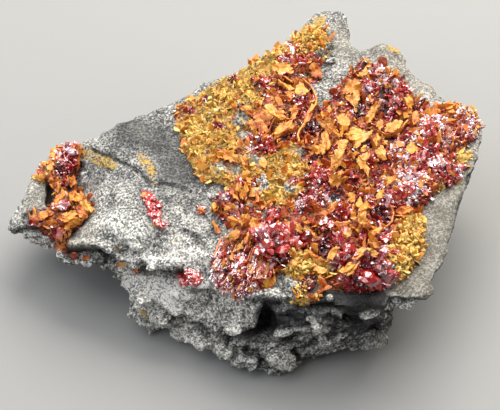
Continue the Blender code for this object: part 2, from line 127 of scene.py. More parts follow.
# limestone: fine calcite grains, pale where weathered and near black on fresh breaks
limestone = {
    "grain": 0.3,  # mm across a grain
    "patch": 5.0,
    "pit": 0.45,
    "streak": (1.5, -0.32, (2.8, 2.0, 0.6)),  # mm, slope of the beds, how far streaks are drawn out
    "shares": (0.3, 1.1, 0.65),  # how much grains, pits and patches vary its colour
    "chip": 1.1,
    "skin": [(0.3, "#20201f"), (0.42, "#626260"), (0.54, "#92918a"), (0.7, "#dedcd5")],
    "fresh": [(0.4, "#0b0c0d"), (0.51, "#434446"), (0.58, "#626260"), (0.67, "#dedcd5")],
    "freshMix": (0.25, 0.6),  # share of the chips in a fresh break's pattern, then of the streaks
    "buff": ("#aba28c", 0.3),  # and its share where it is strongest
    "stains": [(0.36, "#7d6f36"), (0.5, "#c4a43c"), (0.64, "#dfae4a")],
    "stainBreak": (0.7, 2.6),  # how much the grains and the streaks break up a stain
    "stainEdge": (4, -10.6),  # how sharp its edge is, and where
    "toneShift": 0.36,  # how much brighter a tone of 1 makes the stone
    "toneLift": 0.034,  # and how far it moves the grains towards the pale ones
    "mostLift": 2.5,  # the tone at which they stop
    "light": (0.06, 1.5),  # the least and the most that tones leave of its brightness
    "roughness": 0.62,
    "chipBump": (0.1, 0.45, 0.6),  # strength, strength that a fresh break adds, depth in mm
    "pitBump": (0.6, 0.7),  # strength, depth in mm
    "grainBump": (0.8, 0.14),
}


def makeLimestone():
    look = limestone
    material, tree, where, shader = newMaterial("limestone")
    grain = add(tree, "ShaderNodeTexVoronoi", {"Vector": where, "Scale": perMetre(look["grain"])})
    fleck = add(tree, "ShaderNodeSeparateColor", {"Color": grain.outputs["Color"]}).outputs[0]
    patch = add(tree, "ShaderNodeTexNoise", {"Vector": where, "Scale": perMetre(look["patch"]), "Detail": 5,
        "Roughness": 0.65})
    fine = add(tree, "ShaderNodeTexNoise", {"Vector": where, "Scale": perMetre(look["pit"]), "Detail": 5,
        "Roughness": 0.7})
    chip = add(tree, "ShaderNodeTexVoronoi", {"Vector": where, "Scale": perMetre(look["chip"])})
    mixed = 0.5 - 0.5 * sum(look["shares"])
    for source, share in zip((fleck, fine.outputs[0], patch.outputs[0]), look["shares"]):
        mixed = add(tree, "ShaderNodeMath", {0: source, 1: share, 2: mixed},
                    operation="MULTIPLY_ADD").outputs[0]
    # tone: the stone's own paler and darker patches together with painted light and shade
    toneAndPaintedLight = add(tree, "ShaderNodeAttribute", attribute_name="toneAndPaintedLight").outputs["Fac"]
    raised = add(tree, "ShaderNodeClamp", {"Value": toneAndPaintedLight, "Min": 0, "Max": look["mostLift"]}).outputs[0]
    raised = add(tree, "ShaderNodeMath", {0: raised, 1: look["toneLift"], 2: mixed},
                 operation="MULTIPLY_ADD").outputs[0]
    skin = add(tree, "ShaderNodeValToRGB", {0: raised}, stops=look["skin"]).outputs[0]
    cell = add(tree, "ShaderNodeSeparateColor", {"Color": chip.outputs["Color"]}).outputs[0]
    size, slope, drawn = look["streak"]
    along = add(tree, "ShaderNodeMapping", {"Vector": where, "Rotation": (0, slope, 0), "Scale": drawn},
                vector_type="TEXTURE").outputs[0]
    streak = add(tree, "ShaderNodeTexNoise", {"Vector": along, "Scale": perMetre(size), "Detail": 4,
        "Roughness": 0.6}).outputs[0]
    cells = raised
    for source, share in zip((cell, streak), look["freshMix"]):
        cells = add(tree, "ShaderNodeMix", {0: share, 2: cells, 3: source}, data_type="FLOAT").outputs[0]
    fresh = add(tree, "ShaderNodeValToRGB", {0: cells}, stops=look["fresh"]).outputs[0]
    wall = add(tree, "ShaderNodeAttribute", attribute_name="freshBreak").outputs["Fac"]
    colour = add(tree, "ShaderNodeMix", {0: wall, 6: skin, 7: fresh}, data_type="RGBA").outputs[2]
    light = add(tree, "ShaderNodeMath", {0: toneAndPaintedLight, 1: look["toneShift"], 2: 1.0},
                operation="MULTIPLY_ADD").outputs[0]
    least, most = look["light"]
    light = add(tree, "ShaderNodeClamp", {"Value": light, "Min": least, "Max": most}).outputs[0]
    colour = add(tree, "ShaderNodeHueSaturation", {"Value": light, "Color": colour}).outputs[0]
    buffShare = add(tree, "ShaderNodeAttribute", attribute_name="buff").outputs["Fac"]
    buff, share = look["buff"]
    warm = add(tree, "ShaderNodeMix", {0: share, 6: colour, 7: linear(buff)}, data_type="RGBA").outputs[2]
    colour = add(tree, "ShaderNodeMix", {0: buffShare, 6: colour, 7: warm}, data_type="RGBA").outputs[2]
    spotty = add(tree, "ShaderNodeAttribute", attribute_name="stain").outputs["Fac"]
    for source, share in zip((fleck, streak), look["stainBreak"]):
        spotty = add(tree, "ShaderNodeMath", {0: source, 1: share, 2: spotty},
                     operation="MULTIPLY_ADD").outputs[0]
    sharp, level = look["stainEdge"]
    spotty = add(tree, "ShaderNodeMath", {0: spotty, 1: sharp, 2: level}, operation="MULTIPLY_ADD",
                 use_clamp=True).outputs[0]
    stains = add(tree, "ShaderNodeValToRGB", {0: mixed}, stops=look["stains"]).outputs[0]
    colour = add(tree, "ShaderNodeMix", {0: spotty, 6: colour, 7: stains}, data_type="RGBA").outputs[2]
    tree.links.new(colour, shader.inputs["Base Color"])
    shader.inputs["Roughness"].default_value = look["roughness"]
    least, added, depth = look["chipBump"]
    jagged = add(tree, "ShaderNodeMath", {0: wall, 1: added, 2: least}, operation="MULTIPLY_ADD",
                 use_clamp=True).outputs[0]
    bump = add(tree, "ShaderNodeBump", {"Height": chip.outputs["Distance"], "Strength": jagged,
                                        "Distance": -depth * mm}).outputs[0]
    for source, (strength, depth) in ((fine.outputs[0], look["pitBump"]), (fleck, look["grainBump"])):
        bump = add(tree, "ShaderNodeBump", {"Height": source, "Normal": bump, "Strength": strength,
            "Distance": depth * mm}).outputs[0]
    tree.links.new(bump, shader.inputs["Normal"])
    return material


# realgar: clear deep red arsenic sulfide crystals with a resinous shine
realgar = {
    # the palest pinks and the white at the top stand for painted glints; high tints and frost reach them
    "colours": [(0.0, "#360308"), (0.2, "#86080f"), (0.42, "#c41b1b"), (0.62, "#dd4c3e"), (0.82, "#e0969a"),
        (1.0, "#f2e0e8")],
    "ior": 2.5,
    "roughness": 0.15,
    "transmission": 0.1,
    "striation": 0.12,  # mm between the fine grooves along a crystal
    "face": 0.42,  # mm across the small steps on its faces
    "cloud": 0.9,  # mm across its paler and darker clouds
    "cloudShare": 0.5,
    "faceBump": (0.5, 0.13),  # strength, depth in mm
    "grooveBump": (0.35, 0.05),
}


def makeRealgar():
    look = realgar
    material, tree, where, shader = newMaterial("realgar")
    tint = add(tree, "ShaderNodeAttribute", attribute_name="tint").outputs["Fac"]
    cloud = add(tree, "ShaderNodeTexNoise", {"Vector": where, "Scale": perMetre(look["cloud"]),
        "Detail": 3}).outputs[0]
    share = look["cloudShare"]
    share = add(tree, "ShaderNodeMath", {0: cloud, 1: share, 2: -share / 2},
                operation="MULTIPLY_ADD").outputs[0]
    share = add(tree, "ShaderNodeMath", {0: tint, 1: share}, operation="ADD", use_clamp=True).outputs[0]
    colour = add(tree, "ShaderNodeValToRGB", {0: share}, stops=look["colours"]).outputs[0]
    tree.links.new(colour, shader.inputs["Base Color"])
    shader.inputs["IOR"].default_value = look["ior"]
    shader.inputs["Roughness"].default_value = look["roughness"]
    shader.inputs["Transmission Weight"].default_value = look["transmission"]
    grooves = add(tree, "ShaderNodeTexNoise", {"Vector": where, "Scale": perMetre(look["striation"]),
        "Detail": 2}).outputs[0]
    faces = add(tree, "ShaderNodeTexVoronoi", {"Vector": where,
        "Scale": perMetre(look["face"])}).outputs["Distance"]
    strength, depth = look["faceBump"]
    bump = add(tree, "ShaderNodeBump", {"Height": faces, "Strength": strength,
                                        "Distance": depth * mm}).outputs[0]
    strength, depth = look["grooveBump"]
    bump = add(tree, "ShaderNodeBump", {"Height": grooves, "Normal": bump, "Strength": strength,
                                        "Distance": depth * mm}).outputs[0]
    tree.links.new(bump, shader.inputs["Normal"])
    return material


# pararealgar: realgar that light has turned to waxy orange and powdery yellow
pararealgar = {
    "orange": [(0.0, "#8a2c10"), (0.18, "#bd561c"), (0.4, "#da8628"), (0.66, "#e8a238"), (0.86, "#f0b656"),
        (1.0, "#e48c4e")],
    "yellow": [(0.0, "#6e5528"), (0.2, "#c2a442"), (0.5, "#e9c464"), (0.82, "#fae08e"), (1.0, "#e8a44a")],
    "orangeRoughness": 0.5,
    "yellowRoughness": 0.75,
    "powder": 0.35,  # mm
    "cloud": 1.3,
    "cloudMix": (0.95, -0.98),  # how much clouds and powder vary its tint, and what evens that out
    "bump": (0.7, 0.16),  # strength, depth in mm
}


def makePararealgar(name, colours, roughness):
    look = pararealgar
    material, tree, where, shader = newMaterial(name)
    tint = add(tree, "ShaderNodeAttribute", attribute_name="tint").outputs["Fac"]
    cloud = add(tree, "ShaderNodeTexNoise", {"Vector": where, "Scale": perMetre(look["cloud"]), "Detail": 4,
        "Roughness": 0.6}).outputs[0]
    powder = add(tree, "ShaderNodeTexNoise", {"Vector": where, "Scale": perMetre(look["powder"]),
        "Detail": 3}).outputs[0]
    share = add(tree, "ShaderNodeMath", {0: cloud, 1: powder}, operation="ADD").outputs[0]
    much, level = look["cloudMix"]
    share = add(tree, "ShaderNodeMath", {0: share, 1: much, 2: level}, operation="MULTIPLY_ADD").outputs[0]
    share = add(tree, "ShaderNodeMath", {0: tint, 1: share}, operation="ADD", use_clamp=True).outputs[0]
    colour = add(tree, "ShaderNodeValToRGB", {0: share}, stops=colours).outputs[0]
    tree.links.new(colour, shader.inputs["Base Color"])
    shader.inputs["Roughness"].default_value = roughness
    strength, depth = look["bump"]
    bump = add(tree, "ShaderNodeBump", {"Height": powder, "Strength": strength,
                                        "Distance": depth * mm}).outputs[0]
    tree.links.new(bump, shader.inputs["Normal"])
    return material


# the fine-grained bed under the crystals: dark red, ochre or grey by what grows on it; its darkest colours
# are partly painted shade in the gaps between crystals and plates
bedFinish = {
    "red": [(0.3, "#3a0408"), (0.5, "#8c0c11"), (0.68, "#c61e1f"), (0.8, "#dd4a40")],
    "orange": [(0.32, "#260a08"), (0.46, "#6b2413"), (0.6, "#b4642a"), (0.75, "#da9640")],
    "yellow": [(0.28, "#5e4a26"), (0.42, "#9c7e36"), (0.55, "#cfa040"), (0.72, "#ecc45c")],
    # painted shade: the near black of the crust in its hollows
    "hollowShade": "#1a0506",
    "grey": [(0.3, "#46443c"), (0.5, "#8e8b7c"), (0.7, "#cfccbe")],
    "ior": 1.5,
    "roughness": 0.7,
    "redRoughness": 0.45,
    "grain": 0.45,  # mm
    "grainMix": (0.35, -0.17),  # how much grains vary its colour, and what evens that out
    "cloud": 1.4,
    "bump": (0.9, 0.3),  # strength, depth in mm
}


def makeBedFinish():
    look = bedFinish
    material, tree, where, shader = newMaterial("realgar_bed")
    grain = add(tree, "ShaderNodeTexVoronoi", {"Vector": where, "Scale": perMetre(look["grain"])})
    fleck = add(tree, "ShaderNodeSeparateColor", {"Color": grain.outputs["Color"]}).outputs[0]
    cloud = add(tree, "ShaderNodeTexNoise", {
        "Vector": where, "Scale": perMetre(look["cloud"]), "Detail": 5, "Roughness": 0.65}).outputs[0]
    much, level = look["grainMix"]
    grains = add(tree, "ShaderNodeMath", {0: fleck, 1: much, 2: level}, operation="MULTIPLY_ADD").outputs[0]
    share = add(tree, "ShaderNodeMath", {0: cloud, 1: grains}, operation="ADD").outputs[0]
    colour = add(tree, "ShaderNodeValToRGB", {0: share}, stops=look["orange"]).outputs[0]
    for zone in ("yellow", "red", "grey"):
        there = add(tree, "ShaderNodeAttribute", attribute_name=zone).outputs["Fac"]
        own = add(tree, "ShaderNodeValToRGB", {0: share}, stops=look[zone]).outputs[0]
        colour = add(tree, "ShaderNodeMix", {0: there, 6: colour, 7: own}, data_type="RGBA").outputs[2]
    hollowShade = add(tree, "ShaderNodeAttribute", attribute_name="hollowShade").outputs["Fac"]
    colour = add(tree, "ShaderNodeMix", {0: hollowShade, 6: colour, 7: linear(look["hollowShade"])},
                 data_type="RGBA").outputs[2]
    tree.links.new(colour, shader.inputs["Base Color"])
    red = add(tree, "ShaderNodeAttribute", attribute_name="red").outputs["Fac"]
    dull = add(tree, "ShaderNodeMath", {0: red, 1: look["redRoughness"] - look["roughness"],
                                        2: look["roughness"]},
               operation="MULTIPLY_ADD").outputs[0]
    tree.links.new(dull, shader.inputs["Roughness"])
    shader.inputs["IOR"].default_value = look["ior"]
    strength, depth = look["bump"]
    bump = add(tree, "ShaderNodeBump", {"Height": share, "Strength": strength,
                                        "Distance": depth * mm}).outputs[0]
    tree.links.new(bump, shader.inputs["Normal"])
    return material


stoneFinish = makeLimestone()
redFinish = makeRealgar()
orangeFinish = makePararealgar("pararealgar_waxy", pararealgar["orange"], pararealgar["orangeRoughness"])
yellowFinish = makePararealgar("pararealgar_powder", pararealgar["yellow"], pararealgar["yellowRoughness"])
bedMaterial = makeBedFinish()
print("finishes made")


# small mesh helpers


def newObject(name, mesh, material=None):
    made = bpy.data.objects.new(name, mesh)
    scene.collection.objects.link(made)
    if material:
        mesh.materials.clear()
        mesh.materials.append(material)
    return made


def fromBmesh(name, bm, material=None):
    mesh = bpy.data.meshes.new(name)
    bm.to_mesh(mesh)
    bm.free()
    return newObject(name, mesh, material)


# turns an object with live modifiers into a plain mesh
def plain(made):
    mesh = bpy.data.meshes.new_from_object(made.evaluated_get(bpy.context.evaluated_depsgraph_get()))
    made.modifiers.clear()
    made.data = mesh
    return made


# the places or normals of a mesh's points, in rows
def rowsOf(source, name):
    values = np.empty(len(source) * 3)
    source.foreach_get(name, values)
    return values.reshape(-1, 3)


def dropLoose(bm, verts):
    bmesh.ops.delete(bm, geom=[v for v in verts if not v.link_faces], context="VERTS")


def setFloats(mesh, name, values):
    layer = mesh.attributes.new(name, "FLOAT", "POINT")
    layer.data.foreach_set("value", np.asarray(values, np.float32))


def fade(value, low, high):
    t = np.clip((value - low) / (high - low), 0, 1)
    return t * t * (3 - 2 * t)


def mergedCopy(node):
    bm = bmesh.new()
    bm.from_mesh(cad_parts[node].data)
    bmesh.ops.remove_doubles(bm, verts=bm.verts, dist=1e-6)
    return bm


stoneBody = mergedCopy("matrix")
stoneTree = BVHTree.FromBMesh(stoneBody)


# where the line of sight through a place in the frame meets a surface; lifted above it by mm
def spot(across, down, above=0.0, tree=None):
    tree = tree or stoneTree
    lift = Vector((0, 0, above * mm))
    way = sight(across, down)
    place, _, _, _ = tree.ray_cast(eye - lift, way)
    if place is None:  # past the edge: the place on the line that comes nearest to the surface
        steps = range(-view["search"], view["search"] + 1)
        line = [eye - lift + way * (view["distance"] + step) * mm for step in steps]
        place = min(line, key=lambda q: tree.find_nearest(q)[3])
    return place + lift


# how much of each point is in some round patches, from 0 to 1; each is (across, down, radius in mm)
def inPatches(points, patches, above=0.0, soft=0.35, tree=None):
    share = np.zeros(len(points))
    for across, down, radius in patches:
        middle = spot(across, down, above, tree)
        away = np.hypot(points[:, 0] - middle.x, points[:, 1] - middle.y) / (radius * mm)
        share = np.maximum(share, 1 - fade(away, 1 - soft, 1 + soft))
    return share


# how near each point is to a path in the frame, from 1 on it to 0 at a radius in mm
def nearPath(points, path, radius):
    places = [np.array(spot(across, down)) for across, down in path]
    least = np.full(len(points), 1.0)
    for a, b in zip(places, places[1:] or places):
        way = b - a
        t = np.clip((points - a) @ way / max(way @ way, 1e-12), 0, 1)
        least = np.minimum(least, np.linalg.norm(points - a - t[:, None] * way, axis=1))
    return 1 - fade(least / (radius * mm), 0.25, 1)


# corners of the stone drawn out a little: ((x, y, z) in mm, radius in mm, the path)
pulls = [
    ((0, 1.5, 1.4), 6, [(322, 24), (332, 24)]),
    ((0.8, 1.3, 1.2), 5, [(384, 52), (392, 52)]),
    ((1.9, -0.8, 0), 4.5, [(414, 290), (418, 298)]),
    ((0.9, -0.1, 0), 4, [(457, 190), (452, 208), (447, 226), (443, 240)]),
    ((0.2, -1.6, 0), 4, [(270, 362), (292, 362)]),
    ((-1.2, -0.6, 0), 4, [(14, 226), (20, 224)]),
    ((-1.3, -0.5, 0), 4, [(140, 308), (144, 318), (148, 326)]),
    ((1, 0.5, 0.2), 3, [(118, 278), (122, 286)]),
]


# moves the corners of the stone, and gives its new tree
def drawOut():
    places = np.array([v.co for v in stoneBody.verts])
    moves = sum(nearPath(places, path, radius)[:, None] * np.array(move) * mm for move, radius,
                path in pulls)
    for v, move in zip(stoneBody.verts, moves):
        v.co += Vector(move)
        v.co.z = max(0, v.co.z)
    stoneBody.normal_update()
    return BVHTree.FromBMesh(stoneBody)


stoneTree = drawOut()

# the stone

# broken blocks that stand out of its walls: (across, down, width, height, depth in mm)
blocks = [
    (281, 357, 5, 5.4, 4), (246, 360, 4, 3.8, 3.4), (224, 350, 4.4, 3.6, 3), (205, 340, 4, 3.2, 2.6),
    (268, 296, 5.6, 2.6, 3), (290, 289, 4, 4.6, 3.4), (247, 312, 4.4, 3.4, 3.4), (232, 325, 4, 3, 3),
    (311, 353, 4.6, 1.8, 2.2), (334, 348, 2.4, 1.4, 1.6), (318, 322, 3.6, 1.6, 2), (295, 331, 5.6, 1, 1.6),
    (331, 299, 1.2, 1.2, 1.2), (375, 340, 7, 3.6, 3), (352, 338, 4.4, 2.4, 2.4), (398, 302, 8, 1.6, 2.2),
    (376, 316, 5, 1.4, 2), (345, 305, 5, 1.6, 2), (146, 300, 3.8, 4.2, 3), (160, 318, 4.4, 3.6, 3),
    (180, 330, 4, 3, 2.6), (142, 318, 3, 3, 2.4), (200, 300, 4.6, 3, 2.6), (175, 294, 4.4, 2.2, 2.4),
    (88, 262, 2.6, 1.6, 1.6), (102, 266, 2.4, 1.6, 1.6), (118, 275, 3, 2, 2),
]
stone = {
    "voxel": 0.42,  # mm between points of the finished skin
    "soften": 3,
    "blockCorners": 16,
    "blockSquare": 0.6,  # the lower, the more its corners draw out to a box
    "blockReach": 0.42,  # of its width, depth and height
    "topFrom": (0.3, 0.75),  # upward share of the normal where walls end and the upper side starts
    "wallFrom": (0.15, 0.6),  # the same for its colour
    "frontFrom": (-0.1, 0.3),  # share of the normal towards the front
    "wallBreaks": [(1.5, 6.0), (1.0, 2.9), (0.4, 1.4)],  # (depth, size) of broken facets, mm
    "calm": 0.3,  # share of those breaks that the back and the right edge keep at their rim
    "calmAbove": (10, 19),  # mm over which they calm down
    "backFrom": 0.1,  # share of the normal towards the back
    "edgeFrom": 30,  # mm to the right, where the right edge starts
    "edgeCalm": 0.1,  # the same share there
    "rightFrom": 4,  # mm to the right, where the rest of the front wall starts
    "frontCalm": 0.65,  # and the share that it keeps
    "wallGrain": (0.25, 1.25),  # (height, size), mm
    "skinGrains": [(0.13, 1.25), (0.13, 0.7)],  # of the grains on the upper side
    "skinSwell": (0.22, 3.4),
    "topPitShade": 0.9,  # painted shade and light: how much darker a pit and paler a bump is, for each mm
    "wallPitShade": 1.1,  # the same on a wall
    "deepest": 1.2,  # mm beyond which that painted shade and light add no more
    "tiltPaintedLight": 2.6,  # painted light and shade: how much paler a face is that looks up more than the wall around it, and darker one that looks down more
    "bedStep": 2.9,  # mm from one bed in the wall to the next
    "bedWaver": [(1.3, 7), (0.5, 2.6)],  # (share of a step, size in mm) by which the beds waver
    "bedDepth": 0.45,  # mm
    "bedPatches": (0.35, 1.5, 5),  # share of that everywhere, share that comes and goes, size in mm
    "bedClimb": 0.34,  # how steeply they climb to the right
    "freshRight": (-3, 4, 0.35),  # mm to the right where breaks turn fresh, and the share before that
    "freshLeft": (-12, 0, 0.4),
    "paleFresh": (0.6, 0.85),  # how much pale tones hide a fresh break, and the most that they do
    "mostStain": 1.15,
    "seed": 11,
    # (radius in mm, the path that the stain follows)
    "stains": [(1.5, [(388, 48), (396, 52)]), (1.3, [(143, 310), (147, 320)]), (1.8, [(140, 156),
        (147, 163), (153, 174)]),
               (2.2, [(85, 154), (94, 158), (104, 162),
                   (113, 166)]), (1.3, [(328, 57)]), (1.2, [(466, 156)]),
               (2.6, [(180, 110), (200, 100), (220, 84), (240, 70), (262, 56), (285, 40), (305, 26),
                   (320, 20)]),
               (2.0, [(462, 95), (478, 103), (486, 112)]), (1.4, [(225, 284),
                   (236, 288)]), (0.9, [(176, 240)]),
               (1.0, [(155, 183)]), (1.6, [(298, 300), (308, 306)]), (1.2, [(118, 248)])],
    "buff": [(430, 260, 6), (440, 220, 6), (452, 190, 5), (470, 160, 4), (412, 285, 5), (400, 55, 7),
        (425, 85, 5), (340, 45, 5), (460, 150, 4), (35, 195, 4), (80, 235, 4)],
}
# ridges and hollows of the stone: (mm outwards, radius in mm, the path they follow)
reliefs = [
    (0.9, 1.7, [(66, 243), (78, 246), (92, 245), (104, 249), (116, 256), (130, 261), (146, 262), (160, 263),
        (176, 265)]),
    (-2.1, 1.5, [(68, 254), (84, 253), (98, 253), (108, 259), (118, 266)]),
    (-2, 1.3, [(133, 269), (146, 271), (158, 272), (172, 274), (186, 277)]),
    (-1.3, 1.1, [(196, 290), (206, 292), (217, 294)]),
    (1.2, 1.4, [(259, 306), (257, 314), (249, 319), (240, 323), (229, 330)]),
    (-2.4, 1.5, [(263, 303), (265, 314), (262, 325), (251, 331), (240, 335), (228, 340)]),
    (-1.1, 1.4, [(268, 308), (271, 320), (268, 330)]),
    (-1.2, 1.2, [(196, 326), (210, 335), (222, 345)]),
    (-0.9, 1.6, [(190, 306), (197, 312), (204, 319)]),
    (-1.2, 1.1, [(160, 308), (170, 318), (182, 326)]),
    (1.4, 2, [(243, 360), (252, 362)]),
    (1.6, 2.2, [(279, 352), (283, 361)]),
    (-1.7, 1.2, [(248, 350), (257, 352), (264, 359)]),
    (-1.5, 1.2, [(294, 350), (297, 361)]),
    (0.9, 1.9, [(258, 295), (268, 294), (277, 296)]),
    (-1, 0.9, [(256, 302), (266, 303), (278, 303)]),
    (0.8, 1.7, [(288, 282), (291, 293)]),
    (-1.2, 1.1, [(300, 306), (316, 308), (330, 306)]),
    (0.9, 0.9, [(280, 331), (295, 329), (309, 331)]),
    (0.9, 1, [(309, 318), (317, 322), (325, 327)]),
    (0.8, 1, [(329, 299)]),
    (-1.2, 1.2, [(284, 340), (305, 341), (322, 336)]),
    (-1, 1, [(330, 316), (346, 320), (362, 324)]),
    (0.9, 1.1, [(362, 314), (375, 313), (388, 317)]),
    (-1.4, 1.2, [(340, 334), (352, 330), (366, 330)]),
    (0.8, 1.5, [(372, 336), (380, 341)]),
    (-2.4, 1.5, [(386, 311), (398, 312), (410, 313)]),
    (0.8, 1.2, [(372, 300), (390, 302), (412, 305)]),
    (-1, 0.8, [(22, 217), (33, 212)]),
    (-2, 1.2, [(51, 187), (52, 196), (50, 204)]),
    (-1.6, 1.2, [(22, 233), (34, 231), (46, 231)]),
    (0.5, 1.3, [(34, 180), (28, 196), (22, 209)]),
    (-0.5, 0.6, [(80, 144), (95, 152), (110, 158), (128, 166), (140, 173), (150, 186)]),
    (0.25, 1.2, [(106, 164), (124, 171), (136, 178), (146, 190)]),
    (-0.5, 0.7, [(160, 184), (176, 186), (190, 192)]),
    (-0.5, 0.7, [(83, 201), (93, 205)]),
    (0.5, 1.6, [(108, 225), (118, 232), (126, 240)]),
    (-0.6, 0.9, [(112, 196), (108, 206)]),
    (0.5, 1.8, [(170, 208), (182, 214)]),
    (-0.5, 1.2, [(186, 234), (196, 240), (204, 250)]),
    (0.5, 1.3, [(206, 186), (210, 196)]),
    (-0.6, 1.2, [(424, 62), (430, 78)]),
    (0.5, 1.4, [(396, 52), (408, 60)]),
]
# paler (above 0) or darker (below 0) stone: (tone, radius in mm, the path it follows); some are the stone's
# own paler and darker patches, others painted highlights and painted shade, as marked below
tonesAndPaintedLight = [
    (-1.9, 7, [(130, 128), (150, 138), (172, 150), (182, 170)]),
    (-0.5, 5, [(150, 180), (175, 190), (190, 205)]),
    (-0.3, 4, [(85, 175), (110, 180), (130, 185)]),
    (0.3, 4, [(85, 135), (105, 138)]),
    (0.8, 7, [(80, 235), (110, 235), (135, 245), (160, 250), (185, 258)]),
    (0.8, 4, [(112, 225), (128, 235)]),
    # the next four: pale ledges of the front wall that face up, partly paler weathered stone, partly painted
    # light
    (2.8, 5, [(135, 285), (165, 288), (200, 292), (235, 300)]),
    (2.3, 4, [(140, 300), (165, 300), (200, 310)]),
    (1.6, 5, [(160, 325), (195, 340), (225, 350)]),
    (1.2, 6, [(150, 262), (170, 268)]),
    (0.5, 9, [(100, 205), (140, 215), (180, 225), (205, 240)]),
    # the next two: painted highlights on lit ridges
    (0.5, 3, [(246, 310), (236, 322)]),
    (0.7, 2.5, [(262, 294), (276, 294)]),
    (0.3, 4, [(215, 345), (235, 355)]),
    (-0.6, 2.5, [(192, 305), (204, 318)]),
    # the next five: painted shade in the crevice and trench of the front wall, and painted shadow under the
    # ledges of the hump
    (-2.6, 2, [(264, 306), (266, 320), (256, 330), (236, 337)]),
    (-1.8, 2.6, [(272, 307), (278, 318), (276, 330)]),
    (-1, 2.5, [(136, 269), (158, 272), (184, 276)]),
    (-0.9, 2.5, [(70, 254), (98, 253), (118, 266)]),
    (-0.4, 4, [(105, 270), (120, 282)]),
    # the next three: the dark right of the front wall, partly its own dark stone, partly painted shade, and
    # painted shadow under the slab's overhang
    (-1.6, 6, [(300, 310), (340, 325), (370, 322), (400, 318)]),
    (-3.8, 2.6, [(322, 299), (350, 300), (380, 298)]),
    (-3, 1.6, [(386, 309), (398, 311), (410, 310)]),
    # the next ten: painted highlights on the lit tops of ridges, lumps and blocks
    (7, 0.9, [(330, 299)]),
    (6, 1.4, [(311, 319), (318, 323), (325, 327)]),
    (4, 0.9, [(282, 331), (308, 331)]),
    (5.5, 1.2, [(366, 313), (376, 312)]),
    (4.2, 1, [(300, 352), (312, 354), (322, 351)]),
    (4.2, 1.1, [(330, 348), (338, 347)]),
    (2.2, 2.4, [(279, 352), (283, 362)]),
    (1.2, 2.2, [(243, 358), (250, 362)]),
    (0.8, 2, [(388, 299), (400, 301), (415, 305)]),
    (0.5, 1.5, [(372, 338), (384, 343)]),
    (-1.1, 6, [(470, 170), (452, 205), (440, 240), (425, 275)]),
    (-0.5, 5, [(404, 60), (424, 78)]),
    # the next two: painted shade in the slit and the hollow of the lobe
    (-0.6, 1.5, [(30, 212), (24, 216)]),
    (-1.5, 1.6, [(51, 187), (52, 196), (50, 204)]),
    (0.3, 4, [(40, 170), (28, 200), (18, 222)]),
]


def facets(q, depth, size):
    at = q / size
    near = noise.voronoi(at)[1][0]
    tilt = noise.noise_vector(near * 5.17 + Vector((4.2, 0.6, 8.8)))
    return depth * max(-1.0, min(1.0, 2.2 * tilt.dot(at - near)))


def grains(q, height, size):
    return height * (0.55 - noise.voronoi(q / size)[0][0])


# an angular block whose middle is on the stone
def addBlock(bm, across, down, width, height, depth):
    middle = spot(across, down)
    corners = []
    for _ in range(stone["blockCorners"]):
        turn = noise.random_unit_vector()
        turn = Vector([math.copysign(abs(t) ** stone["blockSquare"], t) for t in turn])
        place = middle + Vector((turn.x * width, turn.y * depth,
                                 turn.z * height)) * stone["blockReach"] * mm
        place.z = max(0, place.z)
        corners.append(bm.verts.new(place))
    made = bmesh.ops.convex_hull(bm, input=corners)
    dropLoose(bm, corners)
    faces = [part for part in made["geom"] if isinstance(part, bmesh.types.BMFace)]
    bmesh.ops.recalc_face_normals(bm, faces=faces)


